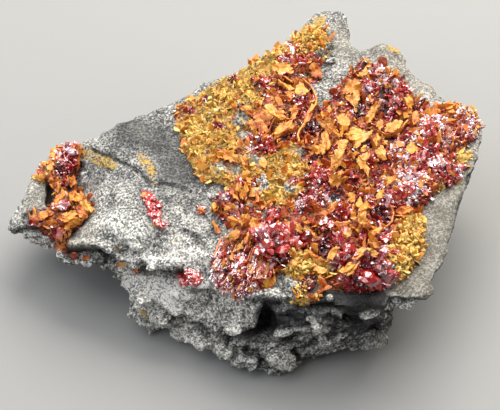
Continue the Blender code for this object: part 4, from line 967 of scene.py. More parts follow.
field = {
    "outline": [(172, 108), (190, 99), (205, 90), (230, 76), (262, 55), (275, 49), (292, 36), (312, 24),
        (326, 24), (331, 38), (332, 50), (326, 57), (320, 66), (323, 76), (316, 81), (308, 73), (302, 71),
        (308, 82), (314, 92), (316, 104), (322, 108), (328, 104), (333, 94), (338, 84), (346, 74),
        (353, 65), (363, 55), (371, 60), (380, 67), (393, 72), (403, 84), (416, 94), (424, 101), (432, 106),
        (441, 107), (453, 104), (463, 99), (478, 108), (483, 116), (482, 126), (479, 136), (470, 142),
        (463, 151), (466, 160), (463, 172), (456, 182), (439, 188), (429, 200), (421, 207), (425, 222),
        (425, 240), (419, 258), (407, 276), (398, 280), (386, 287), (366, 291), (346, 289), (326, 287),
        (319, 298), (306, 303), (292, 301), (284, 294), (290, 276), (281, 270), (264, 290), (252, 290),
        (241, 296), (223, 289), (214, 276), (209, 262), (214, 252), (224, 240), (233, 229), (231, 221),
        (221, 215), (212, 211), (211, 202), (216, 195), (225, 192), (225, 184), (214, 180), (204, 182),
        (195, 172), (189, 160), (182, 145), (177, 126)],
    "red": [(293, 45, 1.3), (284, 57, 1.1), (303, 62, 1.2), (283, 72, 1.4), (262, 82, 1.4), (274, 86, 1),
        (300, 100, 1.9), (303, 112, 1.2), (233, 76, 1), (190, 109, 1), (205, 98, 1), (219, 125, 1.1),
        (248, 138, 1.2), (266, 145, 1.9), (253, 149, 1), (311, 127, 1.7), (322, 108, 1), (335, 86, 1.2),
        (331, 98, 1.3), (350, 105, 1.2), (366, 67, 1.5), (378, 72, 1.6), (390, 80, 1.7), (371, 88, 1.7),
        (403, 90, 1.5), (398, 106, 1.6), (373, 102, 1.2), (385, 95, 1.4), (391, 115, 1.6), (359, 114, 1.1),
        (424, 108, 1.2), (433, 127, 3), (466, 121, 2.1), (471, 134, 1.9), (450, 138, 1.8), (414, 136, 1.7),
        (402, 142, 1.6), (394, 152, 1.7), (430, 150, 1.9), (410, 162, 2.3), (440, 170, 2.5),
        (461, 170, 1.8), (424, 174, 1.8), (450, 181, 1.5), (386, 162, 1.3), (372, 168, 1.2),
        (352, 176, 1.6), (319, 174, 1.6), (322, 186, 1.8), (313, 160, 1.2), (295, 180, 1.1),
        (405, 190, 4.2), (425, 196, 2.2), (385, 184, 1.6), (228, 199, 1.7), (235, 212, 1.2),
        (222, 214, 0.8), (272, 214, 1.5), (266, 223, 1.2), (305, 200, 1.9), (320, 196, 1.5),
        (301, 211, 1.2), (341, 214, 1.5), (346, 204, 1.5), (352, 200, 1.1), (381, 213, 2.4), (372, 200, 1),
        (395, 225, 0.9), (268, 237, 1.8), (275, 250, 2.2), (283, 257, 1.5), (262, 231, 1.1),
        (296, 238, 1.8), (305, 242, 1.1), (326, 241, 1.6), (336, 238, 1.4), (345, 243, 1.8),
        (325, 253, 1.2), (340, 263, 1.5), (364, 237, 1.5), (384, 235, 1.7), (370, 270, 2.8),
        (386, 279, 1.7), (360, 281, 1.8), (349, 285, 1.2), (222, 258, 1.8), (218, 271, 1.6), (235, 262, 2),
        (246, 271, 2.4), (260, 270, 2), (238, 283, 2), (225, 282, 1.6), (251, 283, 1.6), (310, 282, 1.4),
        (312, 277, 1)],
    "yellow": [(190, 130, 4.5), (200, 150, 4.5), (215, 100, 5), (235, 90, 4.5), (250, 75, 4),
        (215, 120, 4.5), (225, 140, 4), (205, 168, 3), (235, 125, 3.5), (270, 58, 3.5), (290, 45, 3),
        (312, 36, 3.5), (325, 48, 2), (225, 175, 3), (250, 165, 3), (265, 160, 3), (280, 165, 3.5),
        (290, 152, 2.5), (275, 190, 3.5), (290, 190, 2.6), (297, 170, 2.6), (458, 100, 2.6),
        (470, 103, 2.2), (481, 110, 2.2), (465, 155, 1.8), (468, 165, 1.4), (412, 225, 3.2),
        (412, 245, 3.4), (402, 262, 3.2), (395, 275, 2.2), (300, 262, 3.2), (320, 266, 2.4), (290, 266, 2),
        (305, 285, 2.2), (298, 296, 2.4), (312, 272, 1.6), (440, 187, 1.6), (250, 100, 2.4),
        (190, 160, 2.2), (208, 182, 1.5)],
    # fine frosted crystals, tinted pale pink and white as painted glints
    "frost": [(434, 122, 3.4), (424, 132, 2.2), (447, 134, 2), (464, 116, 2), (468, 128, 2.2),
        (448, 142, 1.2), (416, 142, 1.4), (402, 190, 3.8), (424, 180, 1.6), (441, 163, 1.8),
        (461, 168, 1.4), (410, 162, 2), (422, 158, 1.4), (386, 72, 2.2), (396, 80, 1.8), (396, 150, 1.3),
        (388, 180, 1.4), (420, 190, 1.6), (384, 78, 1.6), (382, 74, 1.4), (395, 84, 1.4), (378, 84, 0.9),
        (364, 92, 0.8), (350, 82, 0.8), (334, 88, 1.2), (330, 99, 0.8), (296, 98, 1), (290, 46, 1),
        (284, 58, 0.9), (264, 236, 1.1), (284, 243, 1), (300, 204, 1.2), (316, 190, 1.2), (370, 196, 0.9),
        (347, 206, 1), (360, 238, 0.9), (348, 243, 0.9), (250, 146, 1), (310, 119, 0.6), (232, 210, 1),
        (224, 200, 0.9), (326, 196, 0.9), (306, 228, 0.8), (385, 245, 0.7), (352, 110, 0.7), (392, 196, 1)],
    "grey": [(240, 118, 1.7), (243, 132, 1.2), (255, 157, 1.5), (220, 166, 1.5), (236, 169, 1.3),
        (290, 185, 1.4), (262, 214, 1.2), (286, 292, 1.8), (300, 150, 1), (248, 205, 1)],
    "mounds": [(371, 84, 1.8, 1.2), (366, 68, 1.6, 1), (380, 73, 1.8, 1.5), (392, 80, 1.6, 1.5),
        (403, 92, 1.7, 1.4), (399, 108, 1.8, 1.3), (375, 104, 1.3, 1), (352, 90, 2.2, 1),
        (433, 127, 2.9, 1.9), (466, 117, 2.3, 1.6), (471, 134, 1.9, 1.2), (450, 140, 1.6, 1.1),
        (430, 150, 1.8, 1.2), (411, 161, 2.2, 1.5), (440, 169, 2.4, 1.6), (461, 171, 1.8, 1.4),
        (424, 175, 1.6, 1.2), (407, 189, 4.2, 2.6), (388, 198, 2, 1.4), (425, 197, 2, 1.4),
        (370, 266, 3.6, 1.8), (386, 277, 2, 1.6), (355, 276, 2.4, 1.3), (274, 243, 3, 2.6),
        (268, 233, 1.8, 1.4), (242, 266, 3.8, 1.3), (258, 272, 2.6, 1.3), (225, 270, 2.2, 1),
        (296, 232, 2.4, 1.8), (320, 178, 2.4, 1.5), (300, 98, 2.2, 1.6), (283, 74, 2.2, 1.3),
        (262, 82, 1.6, 1.1), (303, 62, 1.8, 1.2), (266, 142, 1.8, 1), (345, 242, 2, 1.6),
        (326, 226, 1.8, 1.2), (363, 220, 2.4, 1.6), (384, 236, 2, 1.2), (345, 206, 1.6, 1.2),
        (305, 199, 2, 1.3), (228, 200, 2, 1.5), (250, 222, 2.4, 1.6), (235, 236, 2, 1.4),
        (376, 250, 2.2, 1.3), (240, 158, 2.4, 0.9), (340, 155, 3, 1.3), (330, 124, 2, 1.4),
        (363, 150, 2.6, 1.3), (350, 115, 1.8, 0.9), (275, 112, 3.4, 1.4), (250, 106, 2.6, 1.1),
        (240, 188, 2.4, 1.3), (335, 180, 1.6, 1), (270, 214, 1.6, 1.1), (410, 230, 3, 1.2),
        (402, 258, 2.6, 1.1), (410, 140, 1.8, 1.2), (398, 150, 1.6, 1), (300, 262, 2.4, 0.9)],
    # hollows: (across, down, radius, depth in mm); the crust there is also painted near black as shade
    "hollows": [(311, 128, 1.7, 2.4), (384, 93, 1.5, 2.4), (359, 114, 1.1, 1.8), (385, 109, 0.9, 1.4),
        (381, 214, 1.8, 1.8), (364, 237, 1.4, 1.8), (324, 250, 1.5, 1.8), (310, 282, 1.8, 1.6),
        (285, 131, 1.6, 2.2), (392, 131, 2, 1.6), (369, 143, 1.4, 1.4), (335, 195, 1.5, 1),
        (278, 226, 1.2, 1), (256, 184, 0.9, 1), (318, 150, 1.1, 1.1)],
    "thickness": 0.95,
    "roughness": 0.45,
    "scabs": (0.55, 2.4),  # (height, size) of the islands that the crust breaks into, mm
    "redFacets": [(0.55, 1.9), (0.3, 0.8)],  # (depth, size) of the crystal faces in the red, mm
    "powderGrains": [(0.36, 1.6), (0.16, 0.6)],  # (height, size) of the yellow grains, mm
    "step": 0.27,  # mm between its points
    "rim": 1.1,  # mm over which it thins out at its edge
    "steepest": 0.25,  # it lies on no stone steeper than this
    "underPlates": 0.9,  # how much less grows where a plate covers it
    "seed": 3,
}
lobeCrust = {
    "outline": [(43, 158), (45, 149), (51, 141), (58, 137), (66, 136), (75, 139), (81, 145), (82, 155),
        (79, 163), (79, 173), (76, 183), (82, 190), (90, 199), (94, 208), (88, 217), (82, 222), (72, 230),
        (66, 240), (66, 252), (62, 258), (54, 252), (52, 240), (47, 230), (38, 226), (27, 222), (33, 213),
        (44, 210), (51, 204), (55, 193), (51, 185), (47, 179), (38, 183), (33, 181), (36, 174), (42, 167)],
    "red": [(68, 144, 1.5), (74, 147, 1.1), (63, 156, 1.4), (70, 158, 1.5), (61, 166, 0.9), (67, 168, 1.4),
        (44, 172, 0.5), (62, 181, 1.3), (62, 206, 1.5), (41, 217, 0.7), (34, 219, 0.8), (56, 226, 0.8),
        (55, 234, 1.3), (57, 241, 0.9)],
    "yellow": [(47, 150, 1), (46, 160, 1), (47, 168, 0.9), (39, 178, 1.2), (90, 210, 1), (86, 202, 0.8)],
    # fine frosted crystals, tinted pale pink and white as painted glints
    "frost": [(64, 142, 1.2), (70, 150, 0.9), (58, 158, 0.9), (62, 207, 1.2), (66, 191, 0.8),
        (57, 224, 0.7)],
    "grey": [],
    "mounds": [(60, 208, 1.8, 0.6), (62, 230, 1.4, 0.5), (45, 216, 1.2, 0.4), (62, 182, 1.2, 0.5),
        (80, 204, 1.4, 0.4)],
    # hollows: (across, down, radius, depth in mm); the crust there is also painted near black as shade
    "hollows": [(62, 174, 0.9, 0.6), (70, 188, 0.6, 0.4)],
    "thickness": 0.25,
    "roughness": 0.3,
    "scabs": (0.3, 1.8),
    "redFacets": [(0.5, 1.8), (0.25, 0.8)],
    "powderGrains": [(0.4, 1.3), (0.15, 0.5)],
    "step": 0.25,
    "rim": 0.5,
    "steepest": 0.08,
    "underPlates": 0.9,
    "seed": 5,
}


# how heights and shares make a bed; sizes in mm
bedRules = {
    "standing": 0.7,  # how far growth stands above its bed
    "dome": (1.25, 0.8),  # how far a mound spreads past its radius, and how full it is
    "stray": (0.12, 0.6),  # (distance, size) by which points stray
    "scabEdge": (-0.22, 0.08),  # where in their noise the islands start and end
    "scabLevel": 0.6,
    "greyBetween": 0.2,  # grey that shows between islands of yellow
    "redBetween": 0.4,  # red that shows between the others
    "redInHollows": 0.6,  # how much less red a hollow is
    "redUnderFrost": 0.75,  # how much less the larger red crystals grow where the finer ones do
    "roughSizes": (1.7, 0.7),
    "fineShare": 0.7,  # height of the finer roughness
    "thinnest": (0.12, 0.45),  # at its edge, and how much more inside
    "edgeShare": 0.25,  # of its height that it keeps at its edge
    "depth": 0.5,  # how far it reaches into the stone
    "overhang": 2,  # its thickness where there is no stone below
}


# the upper skin of a bed, an open sheet with a share of each growth at every point
def makeSkin(name, bed, base):
    rules = bedRules
    level = bed["thickness"] + rules["standing"]
    noise.seed_set(bed["seed"])
    corners = [spot(across, down, bed["thickness"], base) for across, down in bed["outline"]]
    loop = np.array([(c.x, c.y) for c in corners])
    step = bed["step"] * mm
    low, high = loop.min(0), loop.max(0)
    columns, rows = (int(n) + 1 for n in (high - low) / step)
    xs, ys = low[0] + step * np.arange(columns), low[1] + step * np.arange(rows)
    xs, ys = (grid.ravel() for grid in np.meshgrid(xs, ys, indexing="ij"))
    edge = np.full(len(xs), 1.0)
    for (ax, ay), (bx, by) in zip(loop, np.roll(loop, -1, 0)):
        t = ((xs - ax) * (bx - ax) + (ys - ay) * (by - ay)) / ((bx - ax) ** 2 + (by - ay) ** 2)
        t = np.clip(t, 0, 1)
        edge = np.minimum(edge, np.hypot(xs - ax - t * (bx - ax), ys - ay - t * (by - ay)))
    flat = np.column_stack([xs, ys])
    shares = {kind: inPatches(flat, bed[kind], level, tree=base) for kind in ("red", "yellow", "grey",
        "frost")}
    # painted shade: how much each point lies in a hollow
    shares["hollowShade"] = inPatches(flat, [row[:3] for row in bed["hollows"]], level, tree=base)
    spread, full = rules["dome"]
    rise = np.full(len(xs), bed["thickness"])
    for kind, way in (("mounds", 1), ("hollows", -1)):
        for across, down, radius, height in bed[kind]:
            middle = spot(across, down, level, base)
            away = np.hypot(xs - middle.x, ys - middle.y) / (radius * mm)
            dome = np.clip(1 - (away / spread) ** 2, 0, 1) ** full
            rise = np.maximum(rise, bed["thickness"] + height * dome) if way > 0 else rise - height * dome
    rim = fade(edge / mm, 0, bed["rim"])
    least, more = rules["thinnest"]
    kept = rules["edgeShare"]
    stray, straySize = rules["stray"]
    coarse, fine = rules["roughSizes"]
    high, wide = bed["scabs"]
    verts = {}
    bm = bmesh.new()
    layers = {kind: bm.verts.layers.float.new(kind) for kind in ("red", "yellow", "grey", "orange", "frost",
        "hollowShade")}
    for i in np.nonzero(insideOf(loop, xs, ys))[0]:
        q = Vector((xs[i], ys[i], 0)) / mm
        q = q + stray * noise.noise_vector(q / straySize)
        place, normal, _, _ = base.ray_cast(Vector((q.x, q.y, highAbove)) * mm, downwards)
        if place is None or normal.z < bed["steepest"]:
            continue
        grey, hollowShade = shares["grey"][i], shares["hollowShade"][i]
        red = shares["red"][i] * (1 - grey) * (1 - rules["redInHollows"] * hollowShade)
        scab = noise.noise(q / wide + Vector((3, 8, 2))) + 0.5 * noise.noise(q * 2.3 / wide)
        scab = float(fade(scab, *rules["scabEdge"]))
        yellow = shares["yellow"][i] * (1 - grey) * (1 - red) * (1 - hollowShade)
        grey = max(grey, rules["greyBetween"] * (1 - scab) * yellow)
        yellow *= 1 - rules["greyBetween"] + rules["greyBetween"] * scab
        red = max(red, rules["redBetween"] * (1 - scab) * (1 - shares["yellow"][i]) * (1 - grey))
        rough = noise.noise(q / coarse) + rules["fineShare"] * noise.noise(q / fine + Vector((0, 0, 9)))
        rough *= bed["roughness"]
        rough += red * sum(facets(q, depth, size) for depth, size in bed["redFacets"])
        rough += (yellow + 0.5 * grey) * sum(grains(q, height, size) for height,
            size in bed["powderGrains"])
        rough += high * (scab - rules["scabLevel"]) * (1 - 0.5 * red)
        top = place.z + max(least + more * rim[i], (rise[i] + rough) * (kept + (1 - kept) * rim[i])) * mm
        v = bm.verts.new((place.x, place.y, top))
        red *= 1 - rules["redUnderFrost"] * shares["frost"][i]
        v[layers["red"]], v[layers["yellow"]], v[layers["grey"]] = red, yellow, grey
        v[layers["orange"]] = max(0, 1 - red - yellow - grey - hollowShade)
        v[layers["frost"]] = shares["frost"][i]
        v[layers["hollowShade"]] = hollowShade
        verts[int(i)] = v
    for v, hidden in zip(bm.verts, underPlates([v.co for v in bm.verts])):
        if hidden:
            for kind in ("red", "orange", "yellow", "frost"):
                v[layers[kind]] *= 1 - bed["underPlates"]
    for i in verts:
        square = [i, i + rows, i + rows + 1, i + 1]
        if all(j in verts for j in square):
            bm.faces.new([verts[j] for j in square])
    dropLoose(bm, bm.verts)
    bm.normal_update()
    print(name, "skin:", len(bm.verts), "points")
    return fromBmesh(name, bm)


# closes a skin into a bed that reaches down into the stone
def makeBed(name, skin):
    bm = bmesh.new()
    bm.from_mesh(skin.data)
    made = bmesh.ops.extrude_face_region(bm, geom=bm.faces[:] + bm.edges[:] + bm.verts[:])
    lowered = [v for v in made["geom"] if isinstance(v, bmesh.types.BMVert)]
    for v in lowered:
        place, _, _, _ = stoneTree.ray_cast(Vector((v.co.x, v.co.y, highAbove * mm)), downwards)
        v.co.z = place.z - bedRules["depth"] * mm if place else v.co.z - bedRules["overhang"] * mm
    bmesh.ops.recalc_face_normals(bm, faces=bm.faces)
    return fromBmesh(name, bm, bedMaterial)


lobeBase = stoneBody.copy()
lobeBase.from_mesh(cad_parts["realgar_lobe_crust"].data)
lobeTree = BVHTree.FromBMesh(lobeBase)
lobeBase.free()
fieldSkin = makeSkin("field_skin", field, stoneTree)
lobeSkin = makeSkin("lobe_skin", lobeCrust, lobeTree)
fieldBed = makeBed("realgar_bed_field", fieldSkin)
lobeBed = makeBed("realgar_bed_lobe", lobeSkin)
growth = stoneBody.copy()
for piece in (fieldBed, lobeBed):
    growth.from_mesh(piece.data)
growthTree = BVHTree.FromBMesh(growth)
growth.free()
for piece, node in ((fieldBed, "realgar_field"), (lobeBed, "realgar_lobe_crust")):
    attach(piece, "root")
    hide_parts(node)


# crystal shapes: each family has a few, in a collection that the scattering picks from

pick = random.Random(21)


def keepShape(name, bm, into):
    bmesh.ops.recalc_face_normals(bm, faces=bm.faces)
    mesh = bpy.data.meshes.new(name)
    bm.to_mesh(mesh)
    bm.free()
    into.objects.link(bpy.data.objects.new(name, mesh))


# the flat-faced hull round some points, its root at the origin
def hull(name, points, into):
    bm = bmesh.new()
    for point in points:
        bm.verts.new(point)
    bmesh.ops.convex_hull(bm, input=bm.verts[:])
    dropLoose(bm, bm.verts)
    keepShape(name, bm, into)


# a short prism with a slanted, bevelled end, one unit long
def prismShape(name, into, wide, deep, sides):
    points = []
    slant = pick.uniform(-0.35, 0.35)
    for k in range(sides):
        turn = math.tau * (k + pick.uniform(-0.18, 0.18)) / sides
        x, y = 0.5 * wide * math.cos(turn), 0.5 * deep * math.sin(turn)
        points.append((x, y, -0.35))
        points.append((x, y, 0.6 + slant * math.cos(turn) + pick.uniform(-0.06, 0.06)))
        points.append((0.45 * x, 0.45 * y, 0.8 + 0.6 * slant * math.cos(turn)))
    hull(name, points, into)


# an irregular flat chip, one unit across
def chipShape(name, into, wide, thick):
    points = []
    for k in range(6):
        turn = math.tau * (k + pick.uniform(-0.3, 0.3)) / 6
        reach = 0.5 * pick.uniform(0.7, 1.1)
        points.append((reach * math.cos(turn), wide * reach * math.sin(turn), -0.5 * thick))
        if k % 2:
            points.append((0.8 * reach * math.cos(turn), 0.8 * wide * reach * math.sin(turn), 0.5 * thick))
    hull(name, points, into)


# a grain with a few faces, one unit across
def sugarShape(name, into, wide):
    points = [(0, 0, 0.5), (0, 0, -0.5)]
    for k in range(4):
        turn = math.tau * (k + pick.uniform(-0.25, 0.25)) / 4
        points.append((0.5 * wide * math.cos(turn), 0.5 * wide * math.sin(turn), pick.uniform(-0.2, 0.2)))
    hull(name, points, into)


# a broken lump or plate with flat faces, standing on its lower edge, one unit high
def shardShape(name, into, wide, thick):
    points = []
    for k in range(8):
        turn = math.tau * (k + pick.uniform(-0.45, 0.45)) / 8
        reach = pick.uniform(0.55, 1.25)
        x, y = 0.5 * wide * math.cos(turn) * reach, thick * pick.uniform(-0.5, 0.5)
        points.append((x, y, 0.35 + 0.6 * math.sin(turn) * reach))
    hull(name, points, into)


# a thin folded shard that stands on its lower edge, one unit high
def scaleShape(name, into, wide, thick, fold):
    bm = bmesh.new()
    outline = []
    for k in range(7):
        turn = math.tau * (k + pick.uniform(-0.32, 0.32)) / 7
        reach = pick.uniform(0.6, 1.12)
        outline.append((0.5 * wide * math.cos(turn) * reach, 0.4 + 0.55 * math.sin(turn) * reach))
    ridge = pick.uniform(-0.1, 0.1) * wide
    rings = []
    for side in (0.5, -0.5):
        ring = []
        for x, z in outline:
            y = side * thick + fold * abs(x - ridge) + 0.25 * fold * z
            ring.append(bm.verts.new((x, y, z)))
        rings.append((ring, bm.verts.new((ridge, side * thick, 0.4))))
    for (ring, hub), flip in zip(rings, (1, -1)):
        for k in range(7):
            bm.faces.new((hub, ring[k], ring[(k + 1) % 7])[::flip])
    for k in range(7):
        j = (k + 1) % 7
        bm.faces.new((rings[0][0][j], rings[0][0][k], rings[1][0][k], rings[1][0][j]))
    keepShape(name, bm, into)


def family(name, shape, sizes):
    shapes = bpy.data.collections.new(name)
    for number, size in enumerate(sizes):
        shape(f"{name}_{number}", shapes, *size)
    return shapes


shapes = {
    "prisms": family("prisms", prismShape, [(0.6, 0.5, 6), (0.5, 0.4, 6), (0.7, 0.5, 5), (0.45, 0.45, 4),
        (0.8, 0.6, 6)]),
    "scales": family("scales", scaleShape, [(0.9, 0.11, 0.5), (0.7, 0.13, -0.4), (1.2, 0.1, 0.7),
        (0.55, 0.12, 0.2), (0.8, 0.11, -0.7), (1.0, 0.14, 0.9), (0.65, 0.16, 0.4)]),
    "sugar": family("sugar", sugarShape, [(0.9,), (0.7,), (1.1,), (0.6,), (0.8,)]),
    "shards": family("shards", shardShape, [(0.9, 0.3), (0.7, 0.25), (1.1, 0.35), (0.6, 0.3), (1.3, 0.25),
        (0.8, 0.5), (1.0, 0.2), (0.5, 0.35)]),
    "chips": family("chips", chipShape, [(0.8, 0.3), (0.6, 0.25), (0.9, 0.4), (0.5, 0.3), (0.7, 0.5)]),
}


scattering = {
    "density": 1.6,  # points offered for each that the spacing leaves room for
    "smallBias": 1.7,  # above 1, small ones outnumber large ones
    "cloud": 1.8,  # mm across the clouds in which tints go together
    "cloudMix": (1.7, -0.6),  # how much they vary, and what evens that out
    "chanceShare": 0.5,
    "tintFrom": (0.2, 0.8),
    "seeds": {"turn": 77, "size": 5, "shape": 9, "tint": 31},
}
paintedGlintTint = 0.6  # painted glint: how much paler a red crystal is where frost covers it


# the tree that scatters a family over a skin, where one of its shares is high
def scatterTree():
    look = scattering
    seeds = look["seeds"]
    tree = bpy.data.node_groups.new("scatter crystals", "GeometryNodeTree")
    face = tree.interface
    face.new_socket("Skin", in_out="INPUT", socket_type="NodeSocketGeometry")
    for name, kind in (("Shapes", "Collection"), ("Zone", "String"), ("Spacing", "Float"),
                       ("Fill", "Float"), ("Smallest", "Float"),
                       ("Largest", "Float"), ("Lean", "Float"), ("Sink", "Float"), ("Least Tint", "Float"),
                       ("Most Tint", "Float"),
                       ("Frosting", "Float"), ("Seed", "Int"), ("Finish", "Material")):
        face.new_socket(name, in_out="INPUT", socket_type="NodeSocket" + kind)
    face.new_socket("Crystals", in_out="OUTPUT", socket_type="NodeSocketGeometry")
    ask = add(tree, "NodeGroupInput").outputs
    zone = add(tree, "GeometryNodeInputNamedAttribute", {"Name": ask["Zone"]},
               data_type="FLOAT").outputs["Attribute"]
    zone = add(tree, "ShaderNodeMath", {0: zone, 1: ask["Fill"]}, operation="MULTIPLY").outputs[0]
    dense = add(tree, "ShaderNodeMath", {0: ask["Spacing"], 1: ask["Spacing"]},
                operation="MULTIPLY").outputs[0]
    dense = add(tree, "ShaderNodeMath", {0: look["density"], 1: dense}, operation="DIVIDE").outputs[0]
    points = add(tree, "GeometryNodeDistributePointsOnFaces", {
        "Mesh": ask["Skin"], "Distance Min": ask["Spacing"], "Density Max": dense, "Density Factor": zone,
        "Seed": ask["Seed"]},
        distribute_method="POISSON")
    back = add(tree, "ShaderNodeMath", {0: ask["Lean"], 1: -1}, operation="MULTIPLY").outputs[0]
    least = add(tree, "ShaderNodeCombineXYZ", {0: back, 1: back, 2: 0}).outputs[0]
    most = add(tree, "ShaderNodeCombineXYZ", {0: ask["Lean"], 1: ask["Lean"], 2: math.tau}).outputs[0]
    lean = add(tree, "FunctionNodeRandomValue", {0: least, 1: most, "Seed": ask["Seed"]},
               data_type="FLOAT_VECTOR").outputs[0]
    lean = add(tree, "FunctionNodeEulerToRotation", {0: lean}).outputs[0]
    turn = add(tree, "FunctionNodeRandomValue", {3: math.tau, "Seed": seeds["turn"]},
               data_type="FLOAT").outputs[1]
    spin = add(tree, "ShaderNodeCombineXYZ", {2: turn}).outputs[0]
    spin = add(tree, "FunctionNodeEulerToRotation", {0: spin}).outputs[0]
    heading = add(tree, "FunctionNodeRotateRotation", {0: points.outputs["Rotation"], 1: spin},
                  rotation_space="LOCAL").outputs[0]
    stance = add(tree, "FunctionNodeRotateRotation", {0: heading, 1: lean},
                 rotation_space="LOCAL").outputs[0]
    chance = add(tree, "FunctionNodeRandomValue", {"Seed": seeds["size"]}, data_type="FLOAT").outputs[1]
    chance = add(tree, "ShaderNodeMath", {0: chance, 1: look["smallBias"]}, operation="POWER").outputs[0]
    size = add(tree, "ShaderNodeMapRange", {"Value": chance, "To Min": ask["Smallest"],
        "To Max": ask["Largest"]}).outputs[0]
    shape = add(tree, "GeometryNodeCollectionInfo", {"Collection": ask["Shapes"], "Separate Children": True,
        "Reset Children": True})
    which = add(tree, "FunctionNodeRandomValue", {4: 0, 5: 99, "Seed": seeds["shape"]},
                data_type="INT").outputs[2]
    placed = add(tree, "GeometryNodeInstanceOnPoints", {
        "Points": points.outputs["Points"], "Instance": shape.outputs[0], "Pick Instance": True,
        "Instance Index": which,
        "Rotation": stance, "Scale": size}).outputs[0]
    sink = add(tree, "ShaderNodeMath", {0: ask["Sink"], 1: -1}, operation="MULTIPLY").outputs[0]
    sink = add(tree, "ShaderNodeCombineXYZ", {2: sink}).outputs[0]
    placed = add(tree, "GeometryNodeTranslateInstances", {"Instances": placed, "Translation": sink,
        "Local Space": True}).outputs[0]
    where = add(tree, "GeometryNodeInputPosition").outputs[0]
    cloud = add(tree, "ShaderNodeTexNoise", {"Vector": where, "Scale": perMetre(look["cloud"]),
        "Detail": 2}).outputs[0]
    chance = add(tree, "FunctionNodeRandomValue", {"Seed": seeds["tint"]}, data_type="FLOAT").outputs[1]
    much, level = look["cloudMix"]
    tint = add(tree, "ShaderNodeMath", {0: cloud, 1: much, 2: level}, operation="MULTIPLY_ADD").outputs[0]
    tint = add(tree, "ShaderNodeMix", {0: look["chanceShare"], 2: tint, 3: chance},
               data_type="FLOAT").outputs[0]
    low, high = look["tintFrom"]
    tint = add(tree, "ShaderNodeMapRange", {"Value": tint, "From Min": low, "From Max": high,
                                            "To Min": ask["Least Tint"],
                                            "To Max": ask["Most Tint"]}).outputs[0]
    # painted glint: crystals where the frost is are tinted paler
    frost = add(tree, "GeometryNodeInputNamedAttribute", {"Name": "frost"},
                data_type="FLOAT").outputs["Attribute"]
    tint = add(tree, "ShaderNodeMath", {0: frost, 1: ask["Frosting"], 2: tint},
               operation="MULTIPLY_ADD").outputs[0]
    stored = add(tree, "GeometryNodeStoreNamedAttribute", {"Geometry": placed, "Name": "tint",
        "Value": tint},
                 data_type="FLOAT", domain="INSTANCE").outputs[0]
    real = add(tree, "GeometryNodeRealizeInstances", {"Geometry": stored}).outputs[0]
    finished = add(tree, "GeometryNodeSetMaterial", {"Geometry": real,
        "Material": ask["Finish"]}).outputs[0]
    add(tree, "NodeGroupOutput", {0: finished})
    return tree


scatter = scatterTree()


# spacing, sizes and sink are in mm, lean in degrees
def grow(name, skin, family, zone, finish, spacing, sizes, lean, seed, fill=1.0, sink=0.02,
         tints=(0.0, 1.0)):
    grown = newObject(name, skin.data.copy())
    modifier = grown.modifiers.new("scatter", "NODES")
    modifier.node_group = scatter
    sockets = {item.name: item.identifier for item in scatter.interface.items_tree if item.in_out == "INPUT"}
    wanted = {"Shapes": shapes[family], "Zone": zone, "Spacing": spacing * mm, "Fill": fill,
              "Smallest": sizes[0] * mm,
              "Largest": sizes[1] * mm, "Lean": math.radians(lean), "Sink": sink * mm, "Seed": seed,
              "Finish": finish,
              "Least Tint": tints[0], "Most Tint": tints[1],
              "Frosting": paintedGlintTint if finish == redFinish else 0.0}
    for socket, value in wanted.items():
        modifier[sockets[socket]] = value
    plain(grown)
    count = sum(len(face.vertices) - 2 for face in grown.data.polygons)
    print(name, "has", count, "triangles")
    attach(grown, "root")
    return grown


